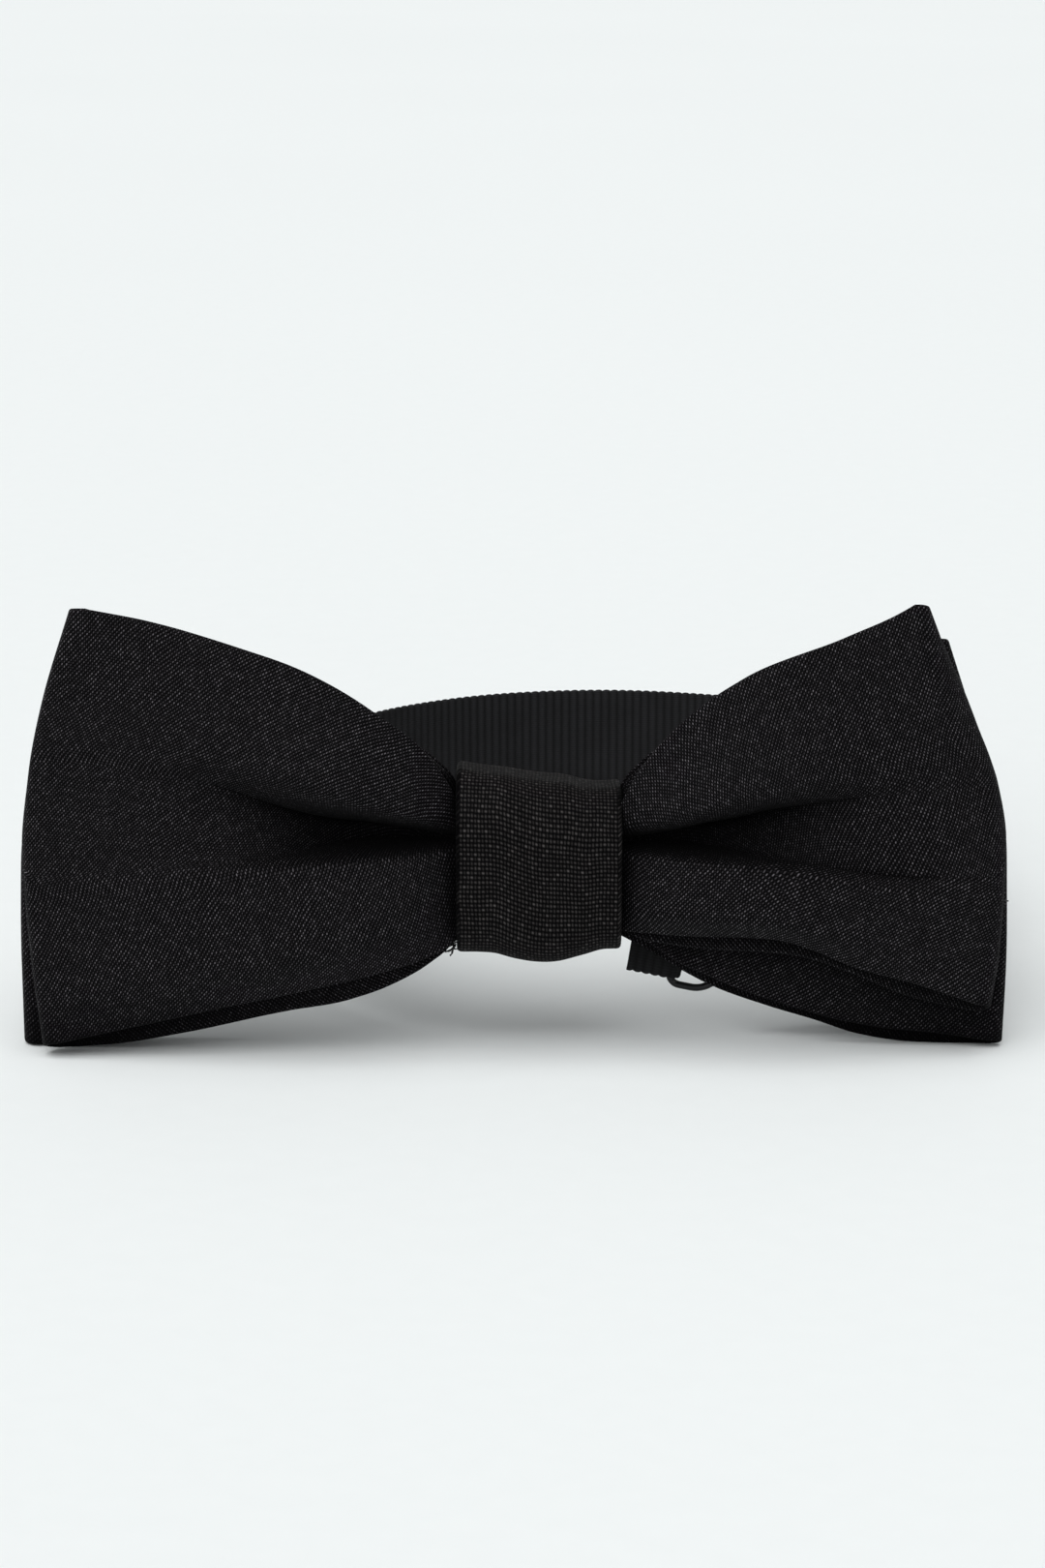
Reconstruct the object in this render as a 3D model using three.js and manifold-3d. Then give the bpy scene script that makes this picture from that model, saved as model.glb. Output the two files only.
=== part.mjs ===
// A pre-tied bow tie with two bows, a wrapped knot and an adjustable ribbon neck band.
//
// Millimetres, +Z up. The bow faces -Y and the neck band loops out behind it towards +Y. The
// object stands on the lower corners of its wings and on the lower edge of the band, at z = 0.
// The design frame has x = 0 at the middle of the knot and y = 0 between the two bows. The last
// lines move everything so that the origin is under the middle of the bounding box.
import * as THREE from 'three';
import Module from 'manifold-3d';
import { mergeVertices } from 'three/addons/utils/BufferGeometryUtils.js';

const wasm = await Module();
wasm.setup();

// ---------------------------------------------------------------- driving dimensions

const GAP = 0.3;                     // between pieces that lie against each other

const CLOTH = 0.8;                   // one ply of a bow: two cloths and their turned edge
const LINING = 0.4;                  // interlining of a bow
const PLY_HALF_GAP = 1.5;            // from a bow's middle plane to the middle of either ply
const FRONT_BOW_Y = -3.3;            // middle plane of each bow
const REAR_BOW_Y = 1.5;
const WAIST_LOW = 15.6;              // the gathered waist inside the knot
const WAIST_HIGH = 31.2;
const WAIST_HALF = 10.2;             // the wings spread from here

const KNOT_WIDTH = 20;
const KNOT_CLOTH = 1.0;
const KNOT_LINING = 0.5;
const KNOT_CORNER = 2.6;             // bend of the wrap's middle line at the knot's four corners
const KNOT_FRONT_Y = -7.6;           // middle line of the wrap
const KNOT_BACK_Y = 8.4;
const KNOT_LOW = 13.1;
const KNOT_HIGH = 33.7;
const FLAP_Y = KNOT_BACK_Y + KNOT_CLOTH + GAP;
const FLAP_TOP = 27;                 // the wrap's outer end, sewn down on the knot's back
const FLAP_START = 21;               // the wrap's inner end, under the flap

const THREAD = 0.4;                  // diameter of sewing thread
const WAIST_THREAD = 0.5;

const RIBBON = 20;                   // width of the neck ribbon
const RIBBON_IN_KNOT = 16.8;         // the same ribbon, squeezed by the knot
const RIBBON_THICK = 0.8;
const RIBBON_Y = 6.4;                // the ribbon's middle where it crosses the knot
const RIBBON_Z = 23.4;
const CLASP_TILT = 12 * Math.PI / 180;   // the clasp's line drops to the right

const WIRE = 0.45;                   // radius of the clasp eye's wire
const EYE_LENGTH = 6.4;              // between the middles of its two upright bars
const EYE_CORNER = 1.5;
const EYE_BAR = new THREE.Vector3(18.3, 5.25, 17.2);
const SIDE_ROOM = 0.4;               // from the ribbon's edge to the metal beside it

const PLATE = 0.8;                   // thickness of the clasp hook's plate
const HOOK_BAR = 15.2;               // from the eye's bar to the hook's bar, along the clasp
const HOOK_BACK = 1.25;              // the hook's plate lies this far behind the eye
const HOOK_RISE = 1.6;               // and sits this far up the eye's bar
const HOOK_RAIL = 1.0;
const TONGUE_WIDTH = 8;

const LOOP_LEFT = -34;               // the loop's straight sides, and where its back arc starts
const LOOP_RIGHT = 53;
const LOOP_ARC_Y = 65.5;
const LOOP_DEPTH = 40;               // from there to the rearmost point
const LOOP_LEFT_FRONT = 40;
const LOOP_RIGHT_FRONT = 24;
const STANDING_Z = RIBBON / 2;       // middle of the ribbon where its edge is on the ground

const HINGE_BEND = 10;               // radius of the ribbon's bend beside the knot
const HINGE_ANGLE = Math.PI / 4;
const HINGE_GAP = 0.6;               // between the two stretches of ribbon at the flexing line

const SLIDER_Y = 46;
const SLIDER_HALF = 5.5;
const SLIDER_RAIL = 1.0;
const SLIDER_BAR = 0.6;              // radius of the bar that the ribbon's end is sewn to
const SLIDER_Z = STANDING_Z + SIDE_ROOM + SLIDER_RAIL + 0.2;

// ---------------------------------------------------------------- materials

function cloth(colour, roughness) {
  return new THREE.MeshStandardMaterial({ color: colour, roughness, metalness: 0 });
}

const BOW_CLOTH = cloth(0x1c1c1f, 0.9);
const WRAP_CLOTH = cloth(0x201f1f, 0.9);
const STIFFENER = cloth(0x3a3a3a, 0.95);
const GROSGRAIN = cloth(0x141416, 0.8);
const SEWING_THREAD = cloth(0x18181a, 0.7);
const BLACK_METAL = new THREE.MeshStandardMaterial({ color: 0x16181b, roughness: 0.35, metalness: 0.8 });

// ---------------------------------------------------------------- solids

// A closed solid through a row of rings, each a list of the same number of points. A closed row
// joins its last ring to its first, and an open one is capped at both ends.
function loft(rings, closed) {
  const sides = rings[0].length;
  const positions = rings.flat().flatMap((p) => [p.x, p.y, p.z]);
  const index = [];
  const last = closed ? rings.length : rings.length - 1;
  for (let i = 0; i < last; i += 1) {
    const here = i * sides;
    const next = ((i + 1) % rings.length) * sides;
    for (let k = 0; k < sides; k += 1) {
      const up = (k + 1) % sides;
      index.push(here + k, here + up, next + up, here + k, next + up, next + k);
    }
  }
  if (!closed) {
    const end = (rings.length - 1) * sides;
    for (let k = 1; k < sides - 1; k += 1) {
      index.push(0, k + 1, k, end, end + k, end + k + 1);
    }
  }
  const geometry = new THREE.BufferGeometry();
  geometry.setAttribute('position', new THREE.Float32BufferAttribute(positions, 3));
  geometry.setIndex(volume(positions, index) < 0 ? index.toReversed() : index);
  return geometry;
}

// The volume inside a closed set of triangles, negative if they face in.
function volume(positions, index) {
  const point = (i) => new THREE.Vector3().fromArray(positions, 3 * i);
  let sum = 0;
  for (let i = 0; i < index.length; i += 3) {
    const across = point(index[i + 1]).cross(point(index[i + 2]));
    sum += point(index[i]).dot(across) / 6;
  }
  return sum;
}

// A flat strip. Each station has its middle, the direction of its width and its width.
function strip(stations, thickness) {
  const rings = stations.map(({ at, across, width }, i) => {
    const before = stations[Math.max(i - 1, 0)].at;
    const after = stations[Math.min(i + 1, stations.length - 1)].at;
    const out = after.clone().sub(before).cross(across).normalize().multiplyScalar(thickness / 2);
    const half = across.clone().multiplyScalar(width / 2);
    const corner = (side, face) => at.clone().addScaledVector(half, side).addScaledVector(out, face);
    return [corner(1, 1), corner(-1, 1), corner(-1, -1), corner(1, -1)];
  });
  return loft(rings, false);
}

// No thread or wire runs in this direction, so it can place the first point of every section.
const SECTION_START = new THREE.Vector3(0.31, 0.23, 0.92);

// A round thread or wire along a list of points, with a section of so many sides.
function wire(points, radius, sides, closed = false) {
  const count = points.length;
  let side = SECTION_START;
  const rings = points.map((at, i) => {
    const before = points[closed ? (i + count - 1) % count : Math.max(i - 1, 0)];
    const after = points[closed ? (i + 1) % count : Math.min(i + 1, count - 1)];
    const along = after.clone().sub(before).normalize();
    side = side.clone().addScaledVector(along, -side.dot(along)).normalize();
    const other = along.clone().cross(side);
    return Array.from({ length: sides }, (_, k) => {
      const turn = 2 * Math.PI * k / sides;
      return at.clone()
        .addScaledVector(side, radius * Math.cos(turn))
        .addScaledVector(other, radius * Math.sin(turn));
    });
  });
  return loft(rings, closed);
}

function toManifold(geometry) {
  const bare = geometry.clone();
  bare.deleteAttribute('normal');
  bare.deleteAttribute('uv');
  const merged = mergeVertices(bare);
  return new wasm.Manifold(new wasm.Mesh({
    numProp: 3,
    vertProperties: merged.attributes.position.array,
    triVerts: new Uint32Array(merged.index.array),
  }));
}

function joined(geometries) {
  const mesh = geometries.map(toManifold).reduce((a, b) => a.add(b)).getMesh();
  const geometry = new THREE.BufferGeometry();
  geometry.setAttribute('position', new THREE.BufferAttribute(mesh.vertProperties, 3));
  geometry.setIndex(new THREE.BufferAttribute(mesh.triVerts, 1));
  return geometry;
}

// A box between two corners.
function block(low, high) {
  const size = high.clone().sub(low);
  const middle = low.clone().add(high).multiplyScalar(0.5);
  return new THREE.BoxGeometry(size.x, size.y, size.z).translate(middle.x, middle.y, middle.z);
}

function vec(x, y, z) {
  return new THREE.Vector3(x, y, z);
}

const assembly = new THREE.Group();

function addPiece(name, geometry, material) {
  const mesh = new THREE.Mesh(geometry, material);
  mesh.name = name;
  assembly.add(mesh);
  return mesh;
}

// ---------------------------------------------------------------- bows

// One wing: how far it reaches at its lower and upper corner and how much its edge bows out, the
// heights of those corners, and how fast its upper and lower edges leave the waist.
const FRONT_WINGS = {
  left: { lower: 59.5, upper: 55.2, bow: 4.8, low: 0, high: 55.6, rise: 0.36, fall: 0.5 },
  right: { lower: 54.3, upper: 46.6, bow: 4.6, low: 4.4, high: 56.5, rise: 0.46, fall: 1.3 },
};
const REAR_WINGS = {
  left: { lower: 61.1, upper: 54.4, bow: 4.0, low: 0, high: 52.5, rise: 0.38, fall: 0.55 },
  right: { lower: 55.6, upper: 49.3, bow: 3.5, low: 0, high: 51.7, rise: 0.44, fall: 0.53 },
};
const WING_STEPS = [0.02, 0.06, 0.13, 0.23, 0.35, 0.5, 0.66, 0.83];
const LINING_STEPS = [0.03, 0.12, 0.3, 0.6];

// A bow is a strip of cloth bent into a flat loop: one ply in front, a round fold at each wing
// tip and one ply behind. Every station has a side (-1 left, 1 right), a share of the way from the
// waist to the tip, and the angle of its outward direction (-90 degrees faces forward).
function loopStations(steps) {
  const facing = Math.PI / 2;
  const ply = (turn) => [
    ...[...steps].reverse().map((share) => ({ side: -1, share, turn })),
    { side: -1, share: 0, turn },
    { side: 1, share: 0, turn },
    ...steps.map((share) => ({ side: 1, share, turn })),
  ];
  const fold = [-0.999, -0.6, 0, 0.6, 0.999];
  return [
    ...ply(-facing),
    ...fold.map((part) => ({ side: 1, share: 1, turn: part * facing })),
    ...ply(facing).reverse(),
    ...fold.map((part) => ({ side: -1, share: 1, turn: Math.PI + part * facing })),
  ];
}

function bowLoop({ wings, middle, halfGap, thickness, swell, steps, rows, margin }) {
  const rings = loopStations(steps).map(({ side, share, turn }) => {
    const wing = side < 0 ? wings.left : wings.right;
    const low = WAIST_LOW + (wing.low - WAIST_LOW) * share ** wing.fall;
    const high = WAIST_HIGH + (wing.high - WAIST_HIGH) * share ** wing.rise;
    const out = vec(Math.cos(turn), Math.sin(turn), 0);
    const column = (row, face) => {
      const level = margin + (1 - 2 * margin) * row / rows;
      const reach = wing.lower + (wing.upper - wing.lower) * level + wing.bow * 4 * level * (1 - level);
      const fold = reach - PLY_HALF_GAP;
      const along = WAIST_HALF + share * (fold - WAIST_HALF);
      const bulge = out.y < -0.5 ? swell * Math.sin(Math.PI * share) * Math.sin(Math.PI * level) : 0;
      return vec(side * along, middle - bulge, low + level * (high - low))
        .addScaledVector(out, halfGap + face * thickness / 2);
    };
    const upwards = Array.from({ length: rows + 1 }, (_, row) => column(row, 1));
    const downwards = Array.from({ length: rows + 1 }, (_, row) => column(rows - row, -1));
    return [...upwards, ...downwards];
  });
  return loft(rings, true);
}

function addBow(name, wings, middle, swell) {
  const outer = { wings, middle, halfGap: PLY_HALF_GAP, thickness: CLOTH };
  addPiece(name, bowLoop({ ...outer, swell, steps: WING_STEPS, rows: 4, margin: 0 }), BOW_CLOTH);
  const halfGap = PLY_HALF_GAP - CLOTH / 2 - GAP - LINING / 2;
  const inner = { wings, middle, halfGap, thickness: LINING };
  const lining = bowLoop({ ...inner, swell: 0, steps: LINING_STEPS, rows: 2, margin: 0.03 });
  addPiece(`${name}_interlining`, lining, STIFFENER);
}

// A row of whip stitches: a zigzag of thread between two heights or two sides.
function stitchRow(start, step, swing, count) {
  const points = Array.from({ length: count }, (_, i) => start.clone()
    .addScaledVector(step, i)
    .addScaledVector(swing, i % 2));
  return wire(points, THREAD / 2, 5);
}

// The seam that closes each loop at its waist, on the outside of the rear ply.
function addSeam(name, middle) {
  const y = middle + PLY_HALF_GAP + CLOTH / 2 + GAP + THREAD / 2;
  const low = WAIST_LOW + 2;
  const rise = (WAIST_HIGH - WAIST_LOW - 4) / 12;
  addPiece(name, stitchRow(vec(5, y, low), vec(0, 0, rise), vec(1.6, 0, 0), 13), SEWING_THREAD);
}

// Two and a half turns of thread that draw both bows together at the waist.
function addWaistThread() {
  const room = GAP + WAIST_THREAD / 2;
  const ply = PLY_HALF_GAP + CLOTH / 2;
  const front = FRONT_BOW_Y - ply - room;
  const back = REAR_BOW_Y + ply + room;
  const low = WAIST_LOW - room;
  const high = WAIST_HIGH + room;
  const turns = 2.5;
  const corners = [[front, low], [front, high], [back, high], [back, low]];
  const pitch = 1.4;
  const bend = 0.7;
  const points = [];
  for (let i = 0; i < turns * 4; i += 1) {
    const [y, z] = corners[i % 4];
    const [beforeY, beforeZ] = corners[(i + 3) % 4];
    const [afterY, afterZ] = corners[(i + 1) % 4];
    const x = (i / 4 - turns / 2) * pitch;
    points.push(
      vec(x, y + Math.sign(beforeY - y) * bend, z + Math.sign(beforeZ - z) * bend),
      vec(x + 0.1 * pitch, y + Math.sign(afterY - y) * bend, z + Math.sign(afterZ - z) * bend),
    );
  }
  addPiece('waist_thread', wire(points, WAIST_THREAD / 2, 6), SEWING_THREAD);
}

// ---------------------------------------------------------------- knot

// Points of a path in the YZ plane through corners that are rounded off.
function roundedPath(corners, radius, steps) {
  const points = [corners[0]];
  for (let i = 1; i < corners.length - 1; i += 1) {
    const here = corners[i];
    const into = here.clone().sub(corners[i - 1]).normalize();
    const away = corners[i + 1].clone().sub(here).normalize();
    const start = here.clone().addScaledVector(into, -radius);
    const end = here.clone().addScaledVector(away, radius);
    const bend = new THREE.QuadraticBezierCurve3(start, here, end);
    points.push(...bend.getPoints(steps));
  }
  points.push(corners[corners.length - 1]);
  return points;
}

function knotStrip(corners, radius, thickness) {
  const across = vec(1, 0, 0);
  const stations = roundedPath(corners, radius, 5).map((at) => ({ at, across, width: KNOT_WIDTH }));
  return strip(stations, thickness);
}

// The wrap starts on the knot's back, goes once round the waist and ends as a flap over its start.
function addKnot() {
  addPiece('knot_wrap', knotStrip([
    vec(0, KNOT_BACK_Y, FLAP_START),
    vec(0, KNOT_BACK_Y, KNOT_HIGH),
    vec(0, KNOT_FRONT_Y, KNOT_HIGH),
    vec(0, KNOT_FRONT_Y, KNOT_LOW),
    vec(0, FLAP_Y, KNOT_LOW),
    vec(0, FLAP_Y, FLAP_TOP),
  ], KNOT_CORNER, KNOT_CLOTH), WRAP_CLOTH);

  const inset = KNOT_CLOTH / 2 + GAP + KNOT_LINING / 2;
  const back = KNOT_BACK_Y - inset;
  const front = KNOT_FRONT_Y + inset;
  const low = KNOT_LOW + inset;
  const high = KNOT_HIGH - inset;
  const meeting = (low + high) / 2;
  addPiece('knot_interlining', knotStrip([
    vec(0, back, meeting + GAP),
    vec(0, back, high),
    vec(0, front, high),
    vec(0, front, low),
    vec(0, back, low),
    vec(0, back, meeting - GAP),
  ], KNOT_CORNER - inset, KNOT_LINING), STIFFENER);

  const stitchY = FLAP_Y + KNOT_CLOTH / 2 + GAP + THREAD / 2;
  const row = stitchRow(vec(-7, stitchY, FLAP_TOP - 1.2), vec(1, 0, 0), vec(0, 0, 2), 15);
  addPiece('knot_back_stitch', row, SEWING_THREAD);
}

// ---------------------------------------------------------------- clasp directions

const UP = vec(0, 0, 1);
const CLASP_ALONG = vec(Math.cos(CLASP_TILT), 0, -Math.sin(CLASP_TILT));
const CLASP_UP = vec(Math.sin(CLASP_TILT), 0, Math.cos(CLASP_TILT));
const CLASP_BACK = vec(0, 1, 0);

// A point given along the clasp, behind the eye's middle plane and up its bars.
function inClasp(along, behind, up) {
  return EYE_BAR.clone()
    .addScaledVector(CLASP_ALONG, along)
    .addScaledVector(CLASP_BACK, behind)
    .addScaledVector(CLASP_UP, up);
}

// Moves a geometry made with x along the clasp, y behind it and z up its bars into place.
function placedInClasp(geometry) {
  const frame = new THREE.Matrix4().makeBasis(CLASP_ALONG, CLASP_BACK, CLASP_UP);
  return geometry.applyMatrix4(frame.setPosition(EYE_BAR));
}

// A fold of ribbon round an upright bar, as angles from the clasp's back direction.
function foldAngles() {
  return [0, 30, 60, 90, 120, 150, 180].map((degrees) => degrees * Math.PI / 180);
}

const EYE_FOLD = WIRE + GAP + RIBBON_THICK / 2;
const HOOK_BAR_HALF = 0.6;
const HOOK_FOLD = Math.hypot(HOOK_BAR_HALF, PLATE / 2) + GAP + RIBBON_THICK / 2;

// ---------------------------------------------------------------- ribbon through the knot

// From the flexing line at the left, through the knot, down to the clasp eye, round its bar and
// back in front of itself to a cut end beside the knot.
function addFrontBand() {
  const knotExit = KNOT_WIDTH / 2 + 0.8;
  const stations = [];
  for (let step = 4; step >= 0; step -= 1) {
    const turn = HINGE_ANGLE * step / 4;
    const at = vec(
      -knotExit - HINGE_BEND * Math.sin(turn),
      RIBBON_Y + HINGE_BEND * (1 - Math.cos(turn)),
      RIBBON_Z,
    );
    const width = THREE.MathUtils.lerp(RIBBON_IN_KNOT, RIBBON, Math.min(step / 2, 1));
    stations.push({ at, across: UP, width });
  }
  stations.push({ at: vec(knotExit - 1.2, RIBBON_Y, RIBBON_Z), across: UP, width: RIBBON_IN_KNOT });
  const start = vec(knotExit - 1.2, RIBBON_Y, RIBBON_Z);
  const end = inClasp(-1, EYE_FOLD, 0);
  for (const share of [0.2, 0.5, 0.8]) {
    const across = UP.clone().lerp(CLASP_UP, share).normalize();
    const width = THREE.MathUtils.lerp(RIBBON_IN_KNOT, RIBBON, Math.min(1.4 * share, 1));
    stations.push({ at: start.clone().lerp(end, share), across, width });
  }
  stations.push({ at: end, across: CLASP_UP, width: RIBBON });
  for (const turn of foldAngles()) {
    const at = inClasp(EYE_FOLD * Math.sin(turn), EYE_FOLD * Math.cos(turn), 0);
    stations.push({ at, across: CLASP_UP, width: RIBBON });
  }
  const lean = RIBBON / 2 * Math.sin(CLASP_TILT);
  const tail = (EYE_BAR.x - KNOT_WIDTH / 2 - 0.9 - lean) / Math.cos(CLASP_TILT);
  stations.push({ at: inClasp(-tail, -EYE_FOLD, 0), across: CLASP_UP, width: RIBBON });
  addPiece('front_band', strip(stations, RIBBON_THICK), GROSGRAIN);

  // The bar tack that holds the turned-back end, where it shows on the back.
  const tackY = EYE_FOLD + RIBBON_THICK / 2 + GAP + THREAD / 2;
  const tack = stitchRow(inClasp(-4.4, tackY, -5.6), CLASP_UP.clone().multiplyScalar(0.8),
    CLASP_ALONG.clone().multiplyScalar(1.2), 15);
  addPiece('tab_stitch', tack, SEWING_THREAD);
}

// ---------------------------------------------------------------- clasp

// A rectangular wire eye with rounded corners, its left bar held in the fold of the tab.
function addClaspEye() {
  const half = RIBBON / 2 + SIDE_ROOM + WIRE;
  const corners = [
    [0, -half, 180], [EYE_LENGTH, -half, 270], [EYE_LENGTH, half, 0], [0, half, 90],
  ];
  const points = [];
  for (const [x, z, first] of corners) {
    const centreX = x + (x > 0 ? -EYE_CORNER : EYE_CORNER);
    const centreZ = z + (z > 0 ? -EYE_CORNER : EYE_CORNER);
    for (const extra of [0, 30, 60, 90]) {
      const turn = (first + extra) * Math.PI / 180;
      points.push(inClasp(centreX + EYE_CORNER * Math.cos(turn), 0, centreZ + EYE_CORNER * Math.sin(turn)));
    }
  }
  addPiece('clasp_eye', wire(points, WIRE, 8, true), BLACK_METAL);
}

// A stamped hook: a slotted frame for the ribbon, a tongue that passes behind the eye's far bar
// and a lip at the tongue's end, turned forward through the eye.
function addClaspHook() {
  const edge = RIBBON / 2 + SIDE_ROOM;
  const outer = edge + HOOK_RAIL;
  const frameStart = HOOK_BAR - 5.2;
  const frameEnd = HOOK_BAR + HOOK_BAR_HALF;
  const frame = new THREE.Shape()
    .moveTo(frameStart, -outer)
    .lineTo(frameEnd, -outer)
    .lineTo(frameEnd, outer)
    .lineTo(frameStart, outer)
    .closePath();
  frame.holes.push(new THREE.Path()
    .moveTo(frameStart + 1.2, -edge)
    .lineTo(HOOK_BAR - HOOK_BAR_HALF, -edge)
    .lineTo(HOOK_BAR - HOOK_BAR_HALF, edge)
    .lineTo(frameStart + 1.2, edge)
    .closePath());
  const plate = new THREE.ExtrudeGeometry(frame, { depth: PLATE, bevelEnabled: false })
    .rotateX(Math.PI / 2)
    .translate(0, HOOK_BACK + PLATE / 2, 0);
  const lipStart = EYE_LENGTH - WIRE - 1.75;
  const front = HOOK_BACK - PLATE / 2;
  const back = HOOK_BACK + PLATE / 2;
  const half = TONGUE_WIDTH / 2;
  const tongue = block(vec(lipStart, front, -half), vec(frameStart + 0.5, back, half));
  const lip = block(vec(lipStart, -WIRE - 0.6, -half), vec(lipStart + PLATE, back, half));
  const hook = joined([plate, tongue, lip]).translate(0, 0, HOOK_RISE);
  addPiece('clasp_hook', placedInClasp(hook), BLACK_METAL);
}

// ---------------------------------------------------------------- neck band

const HINGE = vec(
  -KNOT_WIDTH / 2 - 0.8 - HINGE_BEND * Math.sin(HINGE_ANGLE) - 0.5 * HINGE_GAP * Math.cos(HINGE_ANGLE),
  RIBBON_Y + HINGE_BEND * (1 - Math.cos(HINGE_ANGLE)) + 0.5 * HINGE_GAP * Math.sin(HINGE_ANGLE),
  RIBBON_Z,
);

// The loop seen from above, from the flexing line round the back to the clasp hook.
function loopPlan() {
  const startX = HINGE.x - 0.5 * HINGE_GAP * Math.cos(HINGE_ANGLE);
  const startY = HINGE.y + 0.5 * HINGE_GAP * Math.sin(HINGE_ANGLE);
  const bendY = startY + (startX - LOOP_LEFT) * Math.tan(HINGE_ANGLE);
  const hook = inClasp(HOOK_BAR + 0.3, HOOK_BACK - HOOK_FOLD, HOOK_RISE);
  const v2 = (x, y) => new THREE.Vector2(x, y);
  const middle = (LOOP_LEFT + LOOP_RIGHT) / 2;
  const half = (LOOP_RIGHT - LOOP_LEFT) / 2;
  return {
    leftBend: new THREE.QuadraticBezierCurve(
      v2(startX, startY), v2(LOOP_LEFT, bendY), v2(LOOP_LEFT, LOOP_LEFT_FRONT)),
    leftSide: new THREE.LineCurve(v2(LOOP_LEFT, LOOP_LEFT_FRONT), v2(LOOP_LEFT, LOOP_ARC_Y)),
    back: new THREE.EllipseCurve(middle, LOOP_ARC_Y, half, LOOP_DEPTH, Math.PI, 0, true),
    rightSide: new THREE.LineCurve(v2(LOOP_RIGHT, LOOP_ARC_Y), v2(LOOP_RIGHT, LOOP_RIGHT_FRONT)),
    rightBend: new THREE.QuadraticBezierCurve(
      v2(LOOP_RIGHT, LOOP_RIGHT_FRONT), v2(LOOP_RIGHT, hook.y), v2(hook.x, hook.y)),
  };
}

const PLAN = loopPlan();
const LEFT_DROP = PLAN.leftBend.getLength() + PLAN.leftSide.getLength();
const RIGHT_RISE = PLAN.rightBend.getLength();
const HOOK_Z = inClasp(HOOK_BAR + 0.3, 0, HOOK_RISE).z;

// The ribbon's height along the loop: down from the knot on the left, on the ground at the back,
// a little higher where the slider needs room under it, and up to the clasp.
function leftHeight(distance) {
  return THREE.MathUtils.lerp(RIBBON_Z, STANDING_Z, THREE.MathUtils.smoothstep(distance, 0, LEFT_DROP));
}

function backHeight(share) {
  return THREE.MathUtils.lerp(STANDING_Z, SLIDER_Z, THREE.MathUtils.smoothstep(share, 0.6, 1));
}

function rightHeight(share) {
  const rise = HOOK_Z - SLIDER_Z;
  const power = Math.tan(CLASP_TILT) * RIGHT_RISE / rise;
  return SLIDER_Z + rise * share ** power;
}

// Stations along one stretch, offset sideways towards the inside of the loop.
function stretch(curve, count, height, inward = () => 0) {
  return Array.from({ length: count + 1 }, (_, i) => {
    const share = i / count;
    const point = curve.getPointAt(share);
    const along = curve.getTangentAt(share);
    const shift = inward(share);
    return vec(point.x + along.y * shift, point.y - along.x * shift, height(share));
  });
}

// Gives each point of a ribbon the width direction square to its run.
function upright(points) {
  return points.map((at, i) => {
    const before = points[Math.max(i - 1, 0)];
    const after = points[Math.min(i + 1, points.length - 1)];
    const run = after.clone().sub(before).normalize();
    const across = UP.clone().addScaledVector(run, -UP.dot(run)).normalize();
    return { at, across, width: RIBBON };
  });
}

function withoutRepeats(points) {
  return points.filter((p, i) => i === 0 || p.distanceTo(points[i - 1]) > 0.05);
}

function addNeckBand() {
  const leftLength = PLAN.leftBend.getLength();
  const sideLength = PLAN.leftSide.getLength();
  const run = withoutRepeats([
    ...stretch(PLAN.leftBend, 8, (share) => leftHeight(share * leftLength)),
    ...stretch(PLAN.leftSide, 4, (share) => leftHeight(leftLength + share * sideLength)),
    ...stretch(PLAN.back, 28, backHeight),
    ...stretch(PLAN.rightSide, 1, () => SLIDER_Z),
    ...stretch(PLAN.rightBend, 12, rightHeight),
  ]);
  const stations = upright(run);
  stations[stations.length - 1].across = CLASP_UP;
  for (const turn of foldAngles().toReversed()) {
    const along = HOOK_BAR - HOOK_FOLD * Math.sin(turn);
    const at = inClasp(along, HOOK_BACK + HOOK_FOLD * Math.cos(turn), HOOK_RISE);
    stations.push({ at, across: CLASP_UP, width: RIBBON });
  }
  const end = inClasp(HOOK_BAR + 1.6, HOOK_BACK + HOOK_FOLD, HOOK_RISE);
  stations.push({ at: end, across: CLASP_UP, width: RIBBON });
  addPiece('neck_band', strip(stations, RIBBON_THICK), GROSGRAIN);
}

// ---------------------------------------------------------------- adjuster

const BESIDE = RIBBON_THICK + GAP;                       // between plies that lie together
const BAR_FOLD = SLIDER_BAR + GAP + RIBBON_THICK / 2;
const BAR_X = LOOP_RIGHT - BESIDE - BAR_FOLD;

// The ribbon's end, back from the hook along the inside of the band to the slider's bar, round it
// and sewn to itself.
function addReturnPly() {
  const apart = 2 * HOOK_FOLD;
  const first = 0.1;
  const inward = (share) => THREE.MathUtils.lerp(BESIDE, apart, share ** 2);
  const bend = stretch(PLAN.rightBend, 12, rightHeight, inward).toReversed();
  const bent = bend.filter((_, i) => i / 12 > first);
  const straight = [LOOP_RIGHT_FRONT + 6, SLIDER_Y - 6, SLIDER_Y]
    .map((y) => vec(LOOP_RIGHT - BESIDE, y, SLIDER_Z));
  const round = foldAngles().slice(1)
    .map((turn) => vec(BAR_X + BAR_FOLD * Math.cos(turn), SLIDER_Y + BAR_FOLD * Math.sin(turn), SLIDER_Z));
  const tail = vec(BAR_X - BAR_FOLD, SLIDER_Y - 8, SLIDER_Z);
  const points = withoutRepeats([...bent, ...straight, ...round, tail]);
  addPiece('return_ply', strip(upright(points), RIBBON_THICK), GROSGRAIN);

  const stitchX = BAR_X - BAR_FOLD - RIBBON_THICK / 2 - GAP - THREAD / 2;
  const row = stitchRow(vec(stitchX, SLIDER_Y - 5.4, SLIDER_Z - 7), vec(0, 0, 1), vec(0, 1.4, 0), 15);
  addPiece('slider_stitch', row, SEWING_THREAD);
}

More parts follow.
